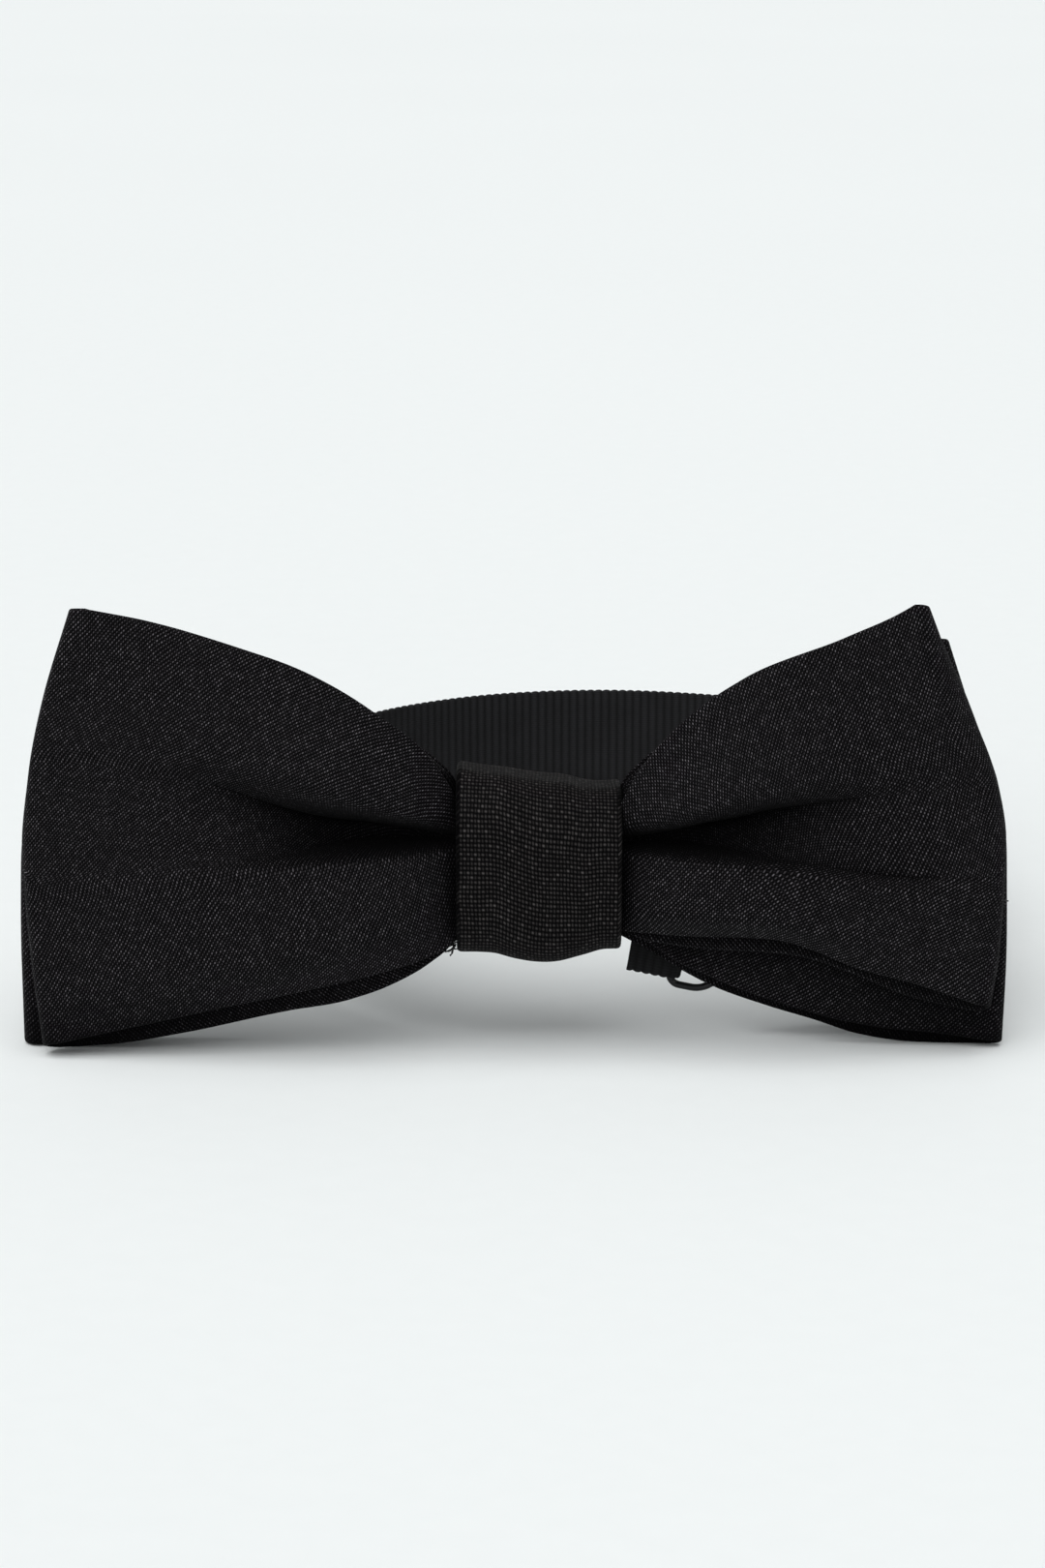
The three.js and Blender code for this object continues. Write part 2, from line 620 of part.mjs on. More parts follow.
// Two rails past the ribbon's edges, two bars across its outside and the sewn bar on its inside.
function addSlider() {
  const edge = RIBBON / 2 + SIDE_ROOM;
  const outside = LOOP_RIGHT + RIBBON_THICK / 2 + SIDE_ROOM;
  const barWidth = 1.2;
  const parts = [];
  for (const side of [-1, 1]) {
    const near = SLIDER_Z + side * edge;
    const far = near + side * SLIDER_RAIL;
    parts.push(block(
      vec(BAR_X - SLIDER_BAR, SLIDER_Y - SLIDER_HALF, Math.min(near, far)),
      vec(outside + 1, SLIDER_Y + SLIDER_HALF, Math.max(near, far)),
    ));
    const middle = SLIDER_Y + side * (SLIDER_HALF - barWidth / 2);
    parts.push(block(
      vec(outside, middle - barWidth / 2, SLIDER_Z - edge - 0.5),
      vec(outside + 1, middle + barWidth / 2, SLIDER_Z + edge + 0.5),
    ));
  }
  parts.push(new THREE.CylinderGeometry(SLIDER_BAR, SLIDER_BAR, 2 * edge + 1, 12)
    .rotateX(Math.PI / 2)
    .translate(BAR_X, SLIDER_Y, SLIDER_Z));
  addPiece('adjuster_slider', joined(parts), BLACK_METAL);
}

// ---------------------------------------------------------------- assembly

addBow('front_bow', FRONT_WINGS, FRONT_BOW_Y, 3);
addBow('rear_bow', REAR_WINGS, REAR_BOW_Y, 0);
addSeam('front_bow_seam', FRONT_BOW_Y);
addSeam('rear_bow_seam', REAR_BOW_Y);
addWaistThread();
addKnot();
addFrontBand();
addClaspEye();
addClaspHook();
addNeckBand();
addReturnPly();
addSlider();

const bounds = new THREE.Box3().setFromObject(assembly, true);
const middle = bounds.getCenter(vec(0, 0, 0));
assembly.position.set(-middle.x, -middle.y, -bounds.min.z);

export default assembly;
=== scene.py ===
"""A black ready-tied bow tie on a pale floor: two bows, a wrapped knot and a neck band.

Lengths are in millimetres until a mesh is made. Points are given in the bow's own frame: x from
the middle of the knot, y from the plane between the two bows (the front is -y), z from the floor.
"""
import math

import bmesh
import bpy
import numpy as np
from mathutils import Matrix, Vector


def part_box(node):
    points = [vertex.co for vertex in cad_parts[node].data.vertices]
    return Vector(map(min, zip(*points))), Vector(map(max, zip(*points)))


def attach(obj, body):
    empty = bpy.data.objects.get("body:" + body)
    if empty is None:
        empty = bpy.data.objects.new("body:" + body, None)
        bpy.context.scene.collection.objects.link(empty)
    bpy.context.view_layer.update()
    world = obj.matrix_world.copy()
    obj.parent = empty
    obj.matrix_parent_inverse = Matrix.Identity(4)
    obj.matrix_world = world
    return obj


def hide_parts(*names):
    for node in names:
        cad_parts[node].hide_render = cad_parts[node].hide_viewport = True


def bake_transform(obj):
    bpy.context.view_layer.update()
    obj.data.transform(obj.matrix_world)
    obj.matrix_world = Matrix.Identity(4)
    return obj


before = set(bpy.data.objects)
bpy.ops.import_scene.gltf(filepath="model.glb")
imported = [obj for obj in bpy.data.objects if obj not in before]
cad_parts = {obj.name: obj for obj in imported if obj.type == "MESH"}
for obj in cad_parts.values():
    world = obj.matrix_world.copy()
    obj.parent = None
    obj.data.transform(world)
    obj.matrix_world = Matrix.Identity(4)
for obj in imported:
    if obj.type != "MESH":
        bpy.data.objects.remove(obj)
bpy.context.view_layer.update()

MM = 0.001


def middle_of(node):
    low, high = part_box(node)
    return (low + high) / 2


# ------ driving dimensions

REAR_BOW_Y = 1.5  # middle planes of the two bows
FRONT_BOW_Y = -3.3
ORIGIN = np.array((middle_of("knot_wrap").x, middle_of("rear_bow_interlining").y - REAR_BOW_Y * MM, 0))

PLY = 0.8  # thickness of one ply of a bow
PLY_HALF_GAP = 1.5  # from a bow's middle plane to the middle of either ply
LINING = 0.4
LINING_INSET = 0.9  # from the middle of a ply to the middle of its lining
LINING_TUCK = 1.2  # how far a lining stops inside the narrower ply
WAIST_HALF = 9.6  # inside the knot the plies run level to this far out

KNOT_HALF = 10.0
WRAP = 1.0
KNOT_FRONT_Y = -7.6  # middle line of the wrap
KNOT_BACK_Y = 8.4
KNOT_FRONT_RISE = 2.0  # how much higher the wrap's front corner is than its back
WEFT_SAG = 0.9  # how far the wrap's cross yarns sag in the middle
KNOT_LINING = 0.5
KNOT_LINING_INSET = 1.05
FLAP_Y = 9.7  # middle line of the lap at the back, and its two ends
FLAP_START = 21.0
FLAP_TOP = 27.0

RIBBON = 20.0  # width of the neck ribbon
RIBBON_IN_KNOT = 16.8
RIBBON_THICK = 0.8
RIBBON_Y = 6.4
RIBBON_Z = 23.4
RIB = 1.2  # pitch of its cross ribs
CLASP_TILT = math.radians(12)  # how far the ribbon slopes down to the clasp

WIRE = 0.45  # radius of the eye's wire
EYE_LENGTH = 6.4
EYE_BAR_CORNER = 1.5
EYE_OUTER_CORNER = 3.4
EYE_BAR = np.array((18.3, 5.25, 17.2))
SIDE_ROOM = 0.4  # between the ribbon's edge and the eye's side
PLATE = 0.8
STAMPED_EDGE = 0.18
HOOK_BAR = 15.2  # the hook's bar, from the eye's bar
HOOK_BACK = 1.25
HOOK_RISE = 1.6
HOOK_BAR_HALF = 0.6
GAP = 0.3  # between a bar and the ribbon folded round it

LOOP_LEFT = -34.0  # plan of the neck loop
LOOP_RIGHT = 53.0
LOOP_ARC_Y = 65.5
LOOP_DEPTH = 40.0
LOOP_LEFT_FRONT = 40.0
LOOP_RIGHT_FRONT = 24.0
STANDING_Z = RIBBON / 2
KNOT_EXIT = KNOT_HALF + 0.8
HINGE_BEND = 10.0  # radius of the bend beside the knot, up to the flexing line
HINGE_ANGLE = math.radians(45)
HINGE_GAP = 0.6
FLEX_HALF = 6.0  # half the length of ribbon that flexes

SLIDER_Y = 46.0
SLIDER_BAR = 0.6
SLIDER_Z = 11.6
THREAD = 0.2  # radii of the sewing threads
TACK_THREAD = 0.16
WINDING_THREAD = 0.25
STRAY_THREAD = 0.09

UP = np.array((0.0, 0.0, 1.0))
CLASP_ALONG = np.array((math.cos(CLASP_TILT), 0, -math.sin(CLASP_TILT)))
CLASP_UP = np.array((math.sin(CLASP_TILT), 0, math.cos(CLASP_TILT)))
CLASP_BACK = np.array((0.0, 1.0, 0.0))
EYE_FOLD = WIRE + GAP + RIBBON_THICK / 2
HOOK_FOLD = math.hypot(HOOK_BAR_HALF, PLATE / 2) + GAP + RIBBON_THICK / 2
BAR_FOLD = SLIDER_BAR + GAP + RIBBON_THICK / 2
RETURN_INSET = RIBBON_THICK + GAP  # from the band to the return ply inside it
BAR_X = LOOP_RIGHT - RETURN_INSET - BAR_FOLD
HALF_TURN = np.radians(np.arange(0, 181, 15))


# ------ curves

def cubic(t, start, leaving, end, reaching):
    """From start to end as t goes from 0 to 1, with the slopes leaving and reaching at its ends."""
    early = (1 + 2 * t) * (1 - t) ** 2 * start + t * (1 - t) ** 2 * leaving
    return early + t * t * (3 - 2 * t) * end + t * t * (t - 1) * reaching


def curve_through(*points):
    """A smooth function through (position, value) points, level beyond the two ends."""
    places, values = np.array(points, float).T
    slopes = np.gradient(values, places)

    def value_at(place):
        place = np.clip(place, places[0], places[-1])
        i = np.clip(np.searchsorted(places, place) - 1, 0, len(places) - 2)
        step = places[i + 1] - places[i]
        t = (place - places[i]) / step
        return cubic(t, values[i], step * slopes[i], values[i + 1], step * slopes[i + 1])

    return value_at


def smoothstep(x, low, high):
    t = np.clip((x - low) / (high - low), 0, 1)
    return t * t * (3 - 2 * t)


def unit(vectors):
    return vectors / np.linalg.norm(vectors, axis=-1, keepdims=True)


def run_lengths(points):
    steps = np.linalg.norm(np.diff(points, axis=0), axis=1)
    return np.concatenate([[0], np.cumsum(steps)])


def resampled(points, run, places):
    """Points at new places along a run."""
    return np.stack([np.interp(places, run, points[:, k]) for k in range(3)], 1)


def softened(points, reach):
    """The points with their corners rounded off by a moving average, the two ends kept."""
    padded = np.concatenate([np.repeat(points[:1], reach, 0), points, np.repeat(points[-1:], reach, 0)])
    kernel = np.hanning(2 * reach + 3)[1:-1]
    kernel /= kernel.sum()
    soft = np.stack([np.convolve(padded[:, k], kernel, "valid") for k in range(3)], 1)
    ease = np.minimum(np.arange(len(points)), np.arange(len(points))[::-1])
    keep = np.clip(1 - ease / reach, 0, 1)[:, None]
    return soft * (1 - keep) + points * keep


# ------ meshes

def place(points):
    """Points of the bow's own frame, in metres in the row frame."""
    return np.asarray(points, float) * MM + ORIGIN


def link(name, data):
    thing = bpy.data.objects.new(name, data)
    bpy.context.scene.collection.objects.link(thing)
    return thing


def smooth_object(name, mesh, material, sharp_angle):
    mesh.shade_smooth()
    mesh.set_sharp_from_angle(angle=math.radians(sharp_angle))
    mesh.materials.append(material)
    return link(name, mesh)


def mesh_piece(name, points, faces, uvs, material):
    """A smooth mesh object from points in millimetres, with one UV corner list per face."""
    mesh = bpy.data.meshes.new(name)
    mesh.from_pydata(place(points), [], faces)
    layer = mesh.uv_layers.new(name="cloth_mm")
    layer.data.foreach_set("uv", np.asarray([c for face in uvs for c in face], np.float32).ravel())
    return smooth_object(name, mesh, material, 60)


def cloth(name, grid, thickness, uv, material, closed=False, seam=0):
    """A closed skin round a grid of points (stations x rows) that is rounded along both edges.

    uv gives each grid point its place in the flat cloth. A closed grid is a loop: its last
    station joins its first, and uv has one more station than the grid. With a seam row, uv is a
    pair: the places used below that row and those used above it.
    """
    grid = np.asarray(grid, float)
    stations, rows, _ = grid.shape
    around = np.concatenate([grid[-1:], grid, grid[:1]]) if closed else grid
    along = np.gradient(around, axis=0)
    along = along[1:-1] if closed else along
    across = np.gradient(grid, axis=1)
    out = unit(np.cross(along, across))
    half = np.broadcast_to(np.asarray(thickness, float) / 2, (stations, rows))[..., None]

    cap_turns = np.radians([60, 30, 0, -30, -60])
    side_high = unit(np.cross(out[:, -1], along[:, -1]))
    side_low = -unit(np.cross(out[:, 0], along[:, 0]))
    side_high *= np.sign(np.sum(side_high * across[:, -1], 1))[:, None]
    side_low *= -np.sign(np.sum(side_low * across[:, 0], 1))[:, None]

    def cap(row, side, turns):
        return [grid[:, row] + half[:, row] * (side * math.cos(t) + out[:, row] * math.sin(t)) for t in turns]

    ring = [grid[:, r] + half[:, r] * out[:, r] for r in range(rows)]
    ring += cap(-1, side_high, cap_turns)
    ring += [grid[:, r] - half[:, r] * out[:, r] for r in reversed(range(rows))]
    ring += cap(0, side_low, -cap_turns)
    points = np.stack(ring, 1)
    sides = points.shape[1]

    below, above = uv if seam else (uv, uv)
    edge = np.radians([30, 60, 90, 60, 30]) * np.mean(half)
    caps = [above[:, -1] + np.array((0, e)) for e in edge], [below[:, 0] - np.array((0, e)) for e in edge]

    def flat_ring(front_turn, back_turn):
        front = [(above if r >= front_turn else below)[:, r] for r in range(rows)]
        back = [(above if r >= back_turn else below)[:, r] for r in reversed(range(rows))]
        return np.stack(front + caps[0] + back + caps[1], 1)

    leaving, reaching = flat_ring(seam, seam + 1), flat_ring(seam + 1, seam)

    faces, corners = [], []
    for i in range(stations if closed else stations - 1):
        j = (i + 1) % stations
        for k in range(sides):
            m = (k + 1) % sides
            faces.append((i * sides + k, j * sides + k, j * sides + m, i * sides + m))
            corners.append((leaving[i, k], leaving[i + 1, k], reaching[i + 1, m], reaching[i, m]))
    if not closed:
        behind = rows + len(cap_turns)
        for i, flip in ((0, 1), (stations - 1, -1)):
            ends = [(r, r + 1, behind + rows - 2 - r, behind + rows - 1 - r) for r in range(rows - 1)]
            ends.append(tuple(range(rows - 1, behind + 1)))
            ends.append((*range(behind + rows - 1, sides), 0))
            for end in ends:
                faces.append(tuple(i * sides + k for k in end[::flip]))
                corners.append(tuple(leaving[i, k] for k in end[::flip]))
    return mesh_piece(name, points.reshape(-1, 3), faces, corners, material)


def tubes(name, lines, radius, material, sides=8, closed=False, twist=0.0):
    """A round tube along each line of points. With a twist, in turns per millimetre, it shows the
    two plies of a thread."""
    points, faces, corners = [], [], []
    girth = 2 * math.pi * radius / sides
    turns = 2 * math.pi * np.arange(sides) / sides
    relief = 0.22 if twist else 0.0
    for line in lines:
        line = np.asarray(line, float)
        around = np.concatenate([line[-1:], line, line[:1]]) if closed else line
        along = unit(np.gradient(around, axis=0))
        along = along[1:-1] if closed else along
        run = run_lengths(line)
        first, stations = len(points), len(line)
        side = np.array((0.31, 0.23, 0.92))
        for i, at in enumerate(line):
            side = unit(side - along[i] * (side @ along[i]))
            other = np.cross(along[i], side)
            swell = 1 + relief * np.cos(2 * (turns - 2 * math.pi * twist * run[i]))
            outwards = np.cos(turns)[:, None] * side + np.sin(turns)[:, None] * other
            points.extend(at + radius * swell[:, None] * outwards)

        run = np.append(run, run[-1] + 0.2)
        for i in range(stations if closed else stations - 1):
            here, there = first + i * sides, first + (i + 1) % stations * sides
            for k in range(sides):
                m = (k + 1) % sides
                faces.append((here + k, here + m, there + m, there + k))
                corners.append([(run[i + a], (k + b) * girth) for a, b in ((0, 0), (0, 1), (1, 1), (1, 0))])
        for i, flip in () if closed else ((0, -1), (stations - 1, 1)):
            faces.append(tuple(first + i * sides + k for k in range(sides))[::flip])
            corners.append([(run[i], k * girth) for k in range(sides)])
    return mesh_piece(name, points, faces, corners, material)


def rounded_copy(name, node, bevel, material):
    """The CAD node's own shape with its edges rounded."""
    shape = bmesh.new()
    shape.from_mesh(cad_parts[node].data)
    bmesh.ops.remove_doubles(shape, verts=shape.verts, dist=1e-6)
    bmesh.ops.dissolve_limit(shape, angle_limit=math.radians(2), verts=shape.verts, edges=shape.edges)
    sharp = [e for e in shape.edges if e.is_manifold and e.calc_face_angle() > math.radians(40)]
    bmesh.ops.bevel(shape, geom=sharp, offset=bevel * MM, segments=3, profile=0.6, affect="EDGES",
                    clamp_overlap=True)
    mesh = bpy.data.meshes.new(name)
    shape.to_mesh(mesh)
    shape.free()
    return smooth_object(name, mesh, material, 50)


def settle(piece, body, node=None):
    """Fix a piece to its body, and hide the CAD node that it stands for."""
    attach(piece, body)
    if node:
        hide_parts(node)


# ------ materials

PAINTED_SHADE_REACH = 9  # how far round a point a fold paints shade on its cloth


class Nodes:
    """Short names for building one material's node tree."""

    def __init__(self, name):
        self.material = bpy.data.materials.new(name)
        self.material.use_nodes = True
        self.tree = self.material.node_tree
        self.shader = self.tree.nodes["Principled BSDF"]

    def add(self, kind, **settings):
        node = self.tree.nodes.new(kind)
        for key, value in settings.items():
            setattr(node, key, value)
        return node

    def put(self, socket, value):
        if isinstance(value, bpy.types.NodeSocket):
            self.tree.links.new(value, socket)
        else:
            socket.default_value = value

    def feed(self, node, **values):
        """Set or link a node's inputs, named with underscores for spaces."""
        for name, value in values.items():
            self.put(node.inputs[name.replace("_", " ")], value)
        return node

    def shade(self, **values):
        self.feed(self.shader, **values)

    def tint(self, share, dark, light):
        """Colour the surface from dark to light by share."""
        node = self.add("ShaderNodeMix", data_type="RGBA")
        for index, value in ((0, share), (6, (*dark, 1.0)), (7, (*light, 1.0))):
            self.put(node.inputs[index], value)
        self.shade(Base_Color=node.outputs[2])

    def maths(self, operation, a, b=0.0, c=0.0):
        node = self.add("ShaderNodeMath", operation=operation)
        for socket, value in zip(node.inputs, (a, b, c)):
            self.put(socket, value)
        return node.outputs[0]

    def times(self, product, *others):
        for value in others:
            product = self.maths("MULTIPLY", product, value)
        return product

    def scaled(self, value, gain, base):
        return self.maths("MULTIPLY_ADD", value, gain, base)

    def cloth_place(self):
        """The two coordinates in the flat cloth, in millimetres."""
        place = self.add("ShaderNodeUVMap", uv_map="cloth_mm").outputs[0]
        parts = self.feed(self.add("ShaderNodeSeparateXYZ"), Vector=place)
        return place, parts.outputs[0], parts.outputs[1]

    def noise(self, place, scale, detail=2.0, rough=0.5):
        node = self.add("ShaderNodeTexNoise")
        self.feed(node, Vector=place, Scale=scale, Detail=detail, Roughness=rough)
        return node.outputs["Fac"]

    def white(self, x, y):
        both = self.feed(self.add("ShaderNodeCombineXYZ"), X=x, Y=y)
        node = self.add("ShaderNodeTexWhiteNoise", noise_dimensions="2D")
        self.feed(node, Vector=both.outputs[0])
        return node.outputs["Value"]

    def painted_fold_shade(self, power):
        """Painted shade: 1 on an open face, less inside pleats and between plies, from the occlusion of cloth
        close by.
        """
        node = self.feed(self.add("ShaderNodeAmbientOcclusion", samples=8), Distance=PAINTED_SHADE_REACH * MM)
        return self.maths("POWER", node.outputs["AO"], power)

    def bump(self, height, depth):
        node = self.feed(self.add("ShaderNodeBump"), Strength=1.0, Distance=depth * MM, Height=height)
        self.shade(Normal=node.outputs[0])


def woven(name, pitch, light, first, second, even, roughness):
    """Plain weave. pitch is the spacing of the yarns each way. Each float is a soft oval in the bump and a
    painted highlight in the colour, of its own random brightness; first and second give the width, length,
    lean and brightness of the two kinds of float, as shares of a weave cell. even is how much of the
    highlight's brightness is left to all."""
    n = Nodes(name)
    place, u, v = n.cloth_place()
    wander = n.scaled(n.noise(place, 0.1), 0.8, -0.4)
    a = n.maths("DIVIDE", n.maths("ADD", u, wander), pitch[0])
    b = n.maths("DIVIDE", n.maths("SUBTRACT", v, wander), pitch[1])
    cell_a, cell_b = n.maths("FLOOR", a), n.maths("FLOOR", b)
    odd = n.maths("MODULO", n.maths("ABSOLUTE", n.maths("ADD", cell_a, cell_b)), 2.0)
    x = n.maths("SUBTRACT", n.maths("FRACT", a), 0.5)
    y = n.maths("SUBTRACT", n.maths("FRACT", b), 0.5)

    def painted_gleam(width, length, lean, gain):
        """A soft oval in the middle of a weave cell, leaning to one side: relief for the bump, a painted
        highlight in the colour.
        """
        slanted = n.maths("SUBTRACT", x, n.times(y, lean))
        wide = n.maths("POWER", n.maths("DIVIDE", slanted, width), 2.0)
        long = n.maths("POWER", n.maths("DIVIDE", y, length), 2.0)
        fall = n.maths("EXPONENT", n.times(n.maths("ADD", wide, long), -1.0))
        return n.times(fall, gain)

    height = n.maths("ADD", n.times(painted_gleam(*first), n.maths("SUBTRACT", 1.0, odd)),
                     n.times(painted_gleam(*second), odd))
    # painted highlight: each float lights the colour by its own random strength
    chance = n.maths("POWER", n.white(cell_a, cell_b), 3.0)
    yarn = n.scaled(n.noise(place, 0.9, 2.0), 0.7, 0.65)
    level = n.scaled(chance, 1 - even, even)
    # painted shade: the colour is darkened inside folds and between plies
    shade = n.times(n.maths("POWER", height, 2.4), level, yarn, n.painted_fold_shade(1.8))
    n.tint(shade, (0.0007, 0.0006, 0.0008), light)
    n.shade(Roughness=n.scaled(chance, -0.12, roughness), Sheen_Weight=0.01, Specular_IOR_Level=0.015)
    n.bump(height, 0.07)
    return n.material


def grosgrain(name):
    """Ribbon with fine yarns along its run over thick cross ribs. The ribs themselves are shape."""
    n = Nodes(name)
    place, u, v = n.cloth_place()
    fine = n.maths("SINE", n.times(v, 2 * math.pi / 0.32))
    rib = n.maths("ABSOLUTE", n.maths("SINE", n.times(u, math.pi / RIB)))
    height = n.scaled(fine, 0.3, n.noise(place, 3.0, 3.0))
    uneven = n.noise(place, 0.2, 4.0)
    # painted shade: the colour is darker in the troughs between the ribs and inside folds
    shade = n.times(n.scaled(rib, 0.7, 0.3), n.scaled(uneven, 0.8, 0.5), n.scaled(fine, 0.12, 0.88),
                    n.painted_fold_shade(2.0))
    n.tint(shade, (0.002, 0.002, 0.002), (0.0165, 0.0165, 0.018))
    n.shade(Roughness=n.scaled(uneven, 0.2, 0.6), Sheen_Weight=0.04, Specular_IOR_Level=0.06)
    n.bump(height, 0.05)
    return n.material


def felted(name):
    """Non-woven interlining: short fibres in every direction."""
    n = Nodes(name)
    place, _, _ = n.cloth_place()
    fibres = n.noise(place, 2.5, 6.0, 0.7)
    n.tint(fibres, (0.02, 0.02, 0.02), (0.07, 0.07, 0.072))
    n.shade(Roughness=n.scaled(fibres, 0.15, 0.8))
    n.bump(fibres, 0.08)
    return n.material


def sewing_thread(name):
    n = Nodes(name)
    place, u, v = n.cloth_place()
    strands = n.maths("SINE", n.maths("ADD", n.times(u, 9.0), n.times(v, 22.0)))
    hairs = n.noise(place, 4.0, 4.0)
    shade = n.times(n.scaled(strands, 0.25, 0.6), hairs)
    n.tint(shade, (0.005, 0.005, 0.005), (0.035, 0.034, 0.036))
    n.shade(Roughness=n.scaled(hairs, 0.3, 0.4))
    n.bump(strands, 0.03)
    return n.material


def coated_metal(name):
    """Black enamel over stamped steel, thin along the edges."""
    n = Nodes(name)
    place = n.add("ShaderNodeTexCoord").outputs["Object"]
    grain = n.noise(place, 900.0, 4.0)
    smears = n.noise(place, 140.0, 3.0)
    edge = n.add("ShaderNodeNewGeometry").outputs["Pointiness"]
    worn = n.times(n.maths("GREATER_THAN", n.scaled(grain, 0.08, edge), 0.585), 0.5)
    n.tint(worn, (0.008, 0.008, 0.009), (0.12, 0.12, 0.12))
    n.shade(Roughness=n.scaled(smears, 0.25, 0.18), Metallic=0.6)
    n.bump(grain, 0.01)
    return n.material


def floor_paper(name):
    n = Nodes(name)
    place = n.add("ShaderNodeTexCoord").outputs["Object"]
    fibre = n.noise(place, 260.0, 5.0)
    broad = n.noise(place, 3.0, 2.0)
    shade = n.scaled(fibre, 0.5, n.times(broad, 0.5))
    n.tint(shade, (0.82, 0.85, 0.85), (0.86, 0.89, 0.89))
    n.shade(Roughness=0.9, Specular_IOR_Level=0.1)
    n.bump(fibre, 0.05)
    return n.material


BOW_CLOTH = woven("bow_cloth", pitch=(0.277, 0.303), light=(0.17, 0.159, 0.172),
                  first=(0.34, 0.62, 0.35, 1.0), second=(0.62, 0.34, 0.0, 0.38), even=0.3, roughness=0.6)
KNOT_CLOTH = woven("knot_cloth", pitch=(0.436, 0.568), light=(0.077, 0.071, 0.07),
                   first=(0.52, 0.38, 0.15, 1.0), second=(0.38, 0.52, 0.1, 0.8), even=0.45, roughness=0.64)
GROSGRAIN = grosgrain("grosgrain")
STIFFENER = felted("interlining")
SEWING_THREAD = sewing_thread("thread")
BLACK_METAL = coated_metal("black_metal")


# ------ bows

# A wing's ply is laid over seven fold lines, from its lower edge to its upper edge. Each has how
# far it reaches at the tip, its height and how far it stands out of the ply's plane, both against
# the distance from the knot's middle. The crease and the bottom of the valley above it stay sharp.
CREASE = 3
VALLEY = 4
ROWS_BETWEEN = (12, 12, 6, 6, 14, 12)
SHARP_SLOPE = 1.7  # how steeply the cloth leaves a sharp fold, against its mean slope
FOLD_STEPS = 7  # stations round each tip


def fold_lines(*rows):
    """Fold lines from rows of tip, heights and depths."""
    return [(tip, curve_through(*heights), curve_through(*depths)) for tip, heights, depths in rows]


LEFT_FACE = fold_lines(
    (60.6, ((9.6, 16.2), (11, 15), (13.8, 13.7), (19.3, 12), (28.5, 9.8), (40.2, 7.1), (51.9, 4.2),
      (60, 2.1)),
     ((10, 0.2), (14, 1.2), (22, 2.0), (34, 1.9), (48, 1.0), (60, 0))),
    (61.5, ((9.6, 20.5), (20, 17.2), (30, 14.8), (45, 11.4), (60, 9.6)),
     ((10, 0.4), (14, 3.0), (22, 4.6), (32, 4.2), (46, 2.4), (60, 0.2))),
    (62.2, ((9.6, 26.4), (20, 25.9), (30, 25.0), (45, 22), (60, 20)),
     ((10, 0.2), (14, 2.4), (21, 3.6), (31, 3.8), (46, 2.7), (60, 0.3))),
    (62.3, ((9.6, 27.4), (20, 27.0), (29, 26.2), (38, 25.7), (45, 25.2), (60, 23.4)),
     ((10, -1.8), (14, -2.9), (20, -3.0), (26, -1.4), (32, 1.2), (42, 1.8), (60, 0.2))),
    (61.0, ((9.6, 28.3), (16, 28.9), (20, 29.5), (26.5, 30.4), (31.3, 32), (36, 34), (41, 35.8),
      (48, 37.2), (60, 38)),
     ((10, -1.8), (15, -3.2), (20, -3.4), (26, -2.9), (31, -1.4), (36, 0.4), (42, 1.6), (60, 0.3))),
    (59.0, ((9.6, 30.2), (14, 32.2), (20, 34.2), (26.5, 36.3), (36, 39.6), (41, 41.2), (50, 44.4),
      (58, 46.5)),
     ((10, 0.3), (14, 2.8), (20, 4.6), (28, 5.0), (38, 4.0), (50, 1.8), (58, 0.3))),
    (55.5, ((9.6, 30.8), (10.8, 33.8), (12.7, 37.0), (20, 43.8), (27, 48.3), (36.5, 51.9), (46, 54.6),
      (55, 56.2)),
     ((10, -0.3), (14, 0.5), (20, 1.4), (30, 1.9), (45, 1.0), (55, 0))),
)
RIGHT_FACE = fold_lines(
    (55.0, ((9.6, 16.9), (20, 16.7), (25.6, 16.6), (29.5, 16.2), (33, 15.1), (38, 12.9), (46.9, 10.1),
      (54.6, 7.0)),
     ((10, 0.2), (14, 1.2), (20, 2.0), (30, 2.2), (40, 1.8), (48, 1.1), (55, 0.1))),
    (55.9, ((9.6, 20), (20, 20), (30, 19.0), (40, 16.5), (50, 14), (56, 13)),
     ((10, 0.4), (14, 3.0), (22, 4.6), (32, 4.4), (44, 2.4), (56, 0.2))),
    (56.2, ((9.6, 25.9), (20, 25.6), (32, 24.2), (40, 22.6), (56, 21.8)),
     ((10, 0.2), (14, 2.4), (20, 3.4), (32, 3.9), (44, 2.8), (56, 0.5))),
    (56.2, ((9.6, 26.9), (16, 26.8), (20, 26.5), (23.5, 26.1), (31.6, 25.2), (39.5, 23.9), (56, 23.5)),
     ((10, -1.8), (15, -2.8), (20, -2.0), (26, -0.4), (32, 0.8), (40, 1.1), (50, 1.0), (56, 0.3))),
    (54.6, ((9.6, 27.9), (16.7, 28.7), (20, 29.5), (24, 30.3), (28.8, 31.6), (35.3, 33), (45, 34.2),
      (55, 35)),
     ((10, -1.8), (15, -3.1), (22, -3.0), (28, -2.2), (33, -0.6), (38, 0.6), (46, 0.9), (55, 0.2))),
    (50.4, ((9.6, 29.8), (14, 31.4), (17, 32.4), (20, 33.4), (24, 34.6), (28, 35.7), (32, 36.9), (38, 39),
      (50, 42)),
     ((10, 0.3), (14, 2.8), (20, 4.4), (28, 4.4), (34, 3.6), (40, 2.6), (50, 1.0))),
    (46.2, ((9.6, 30.8), (10.8, 33.5), (13, 37.3), (18.5, 43.6), (24.3, 47.8), (36.7, 52.9), (43.5, 55.9),
      (46, 57.4)),
     ((10, -0.3), (14, 0.5), (20, 1.4), (30, 1.6), (40, 0.8), (47, 0))),
)


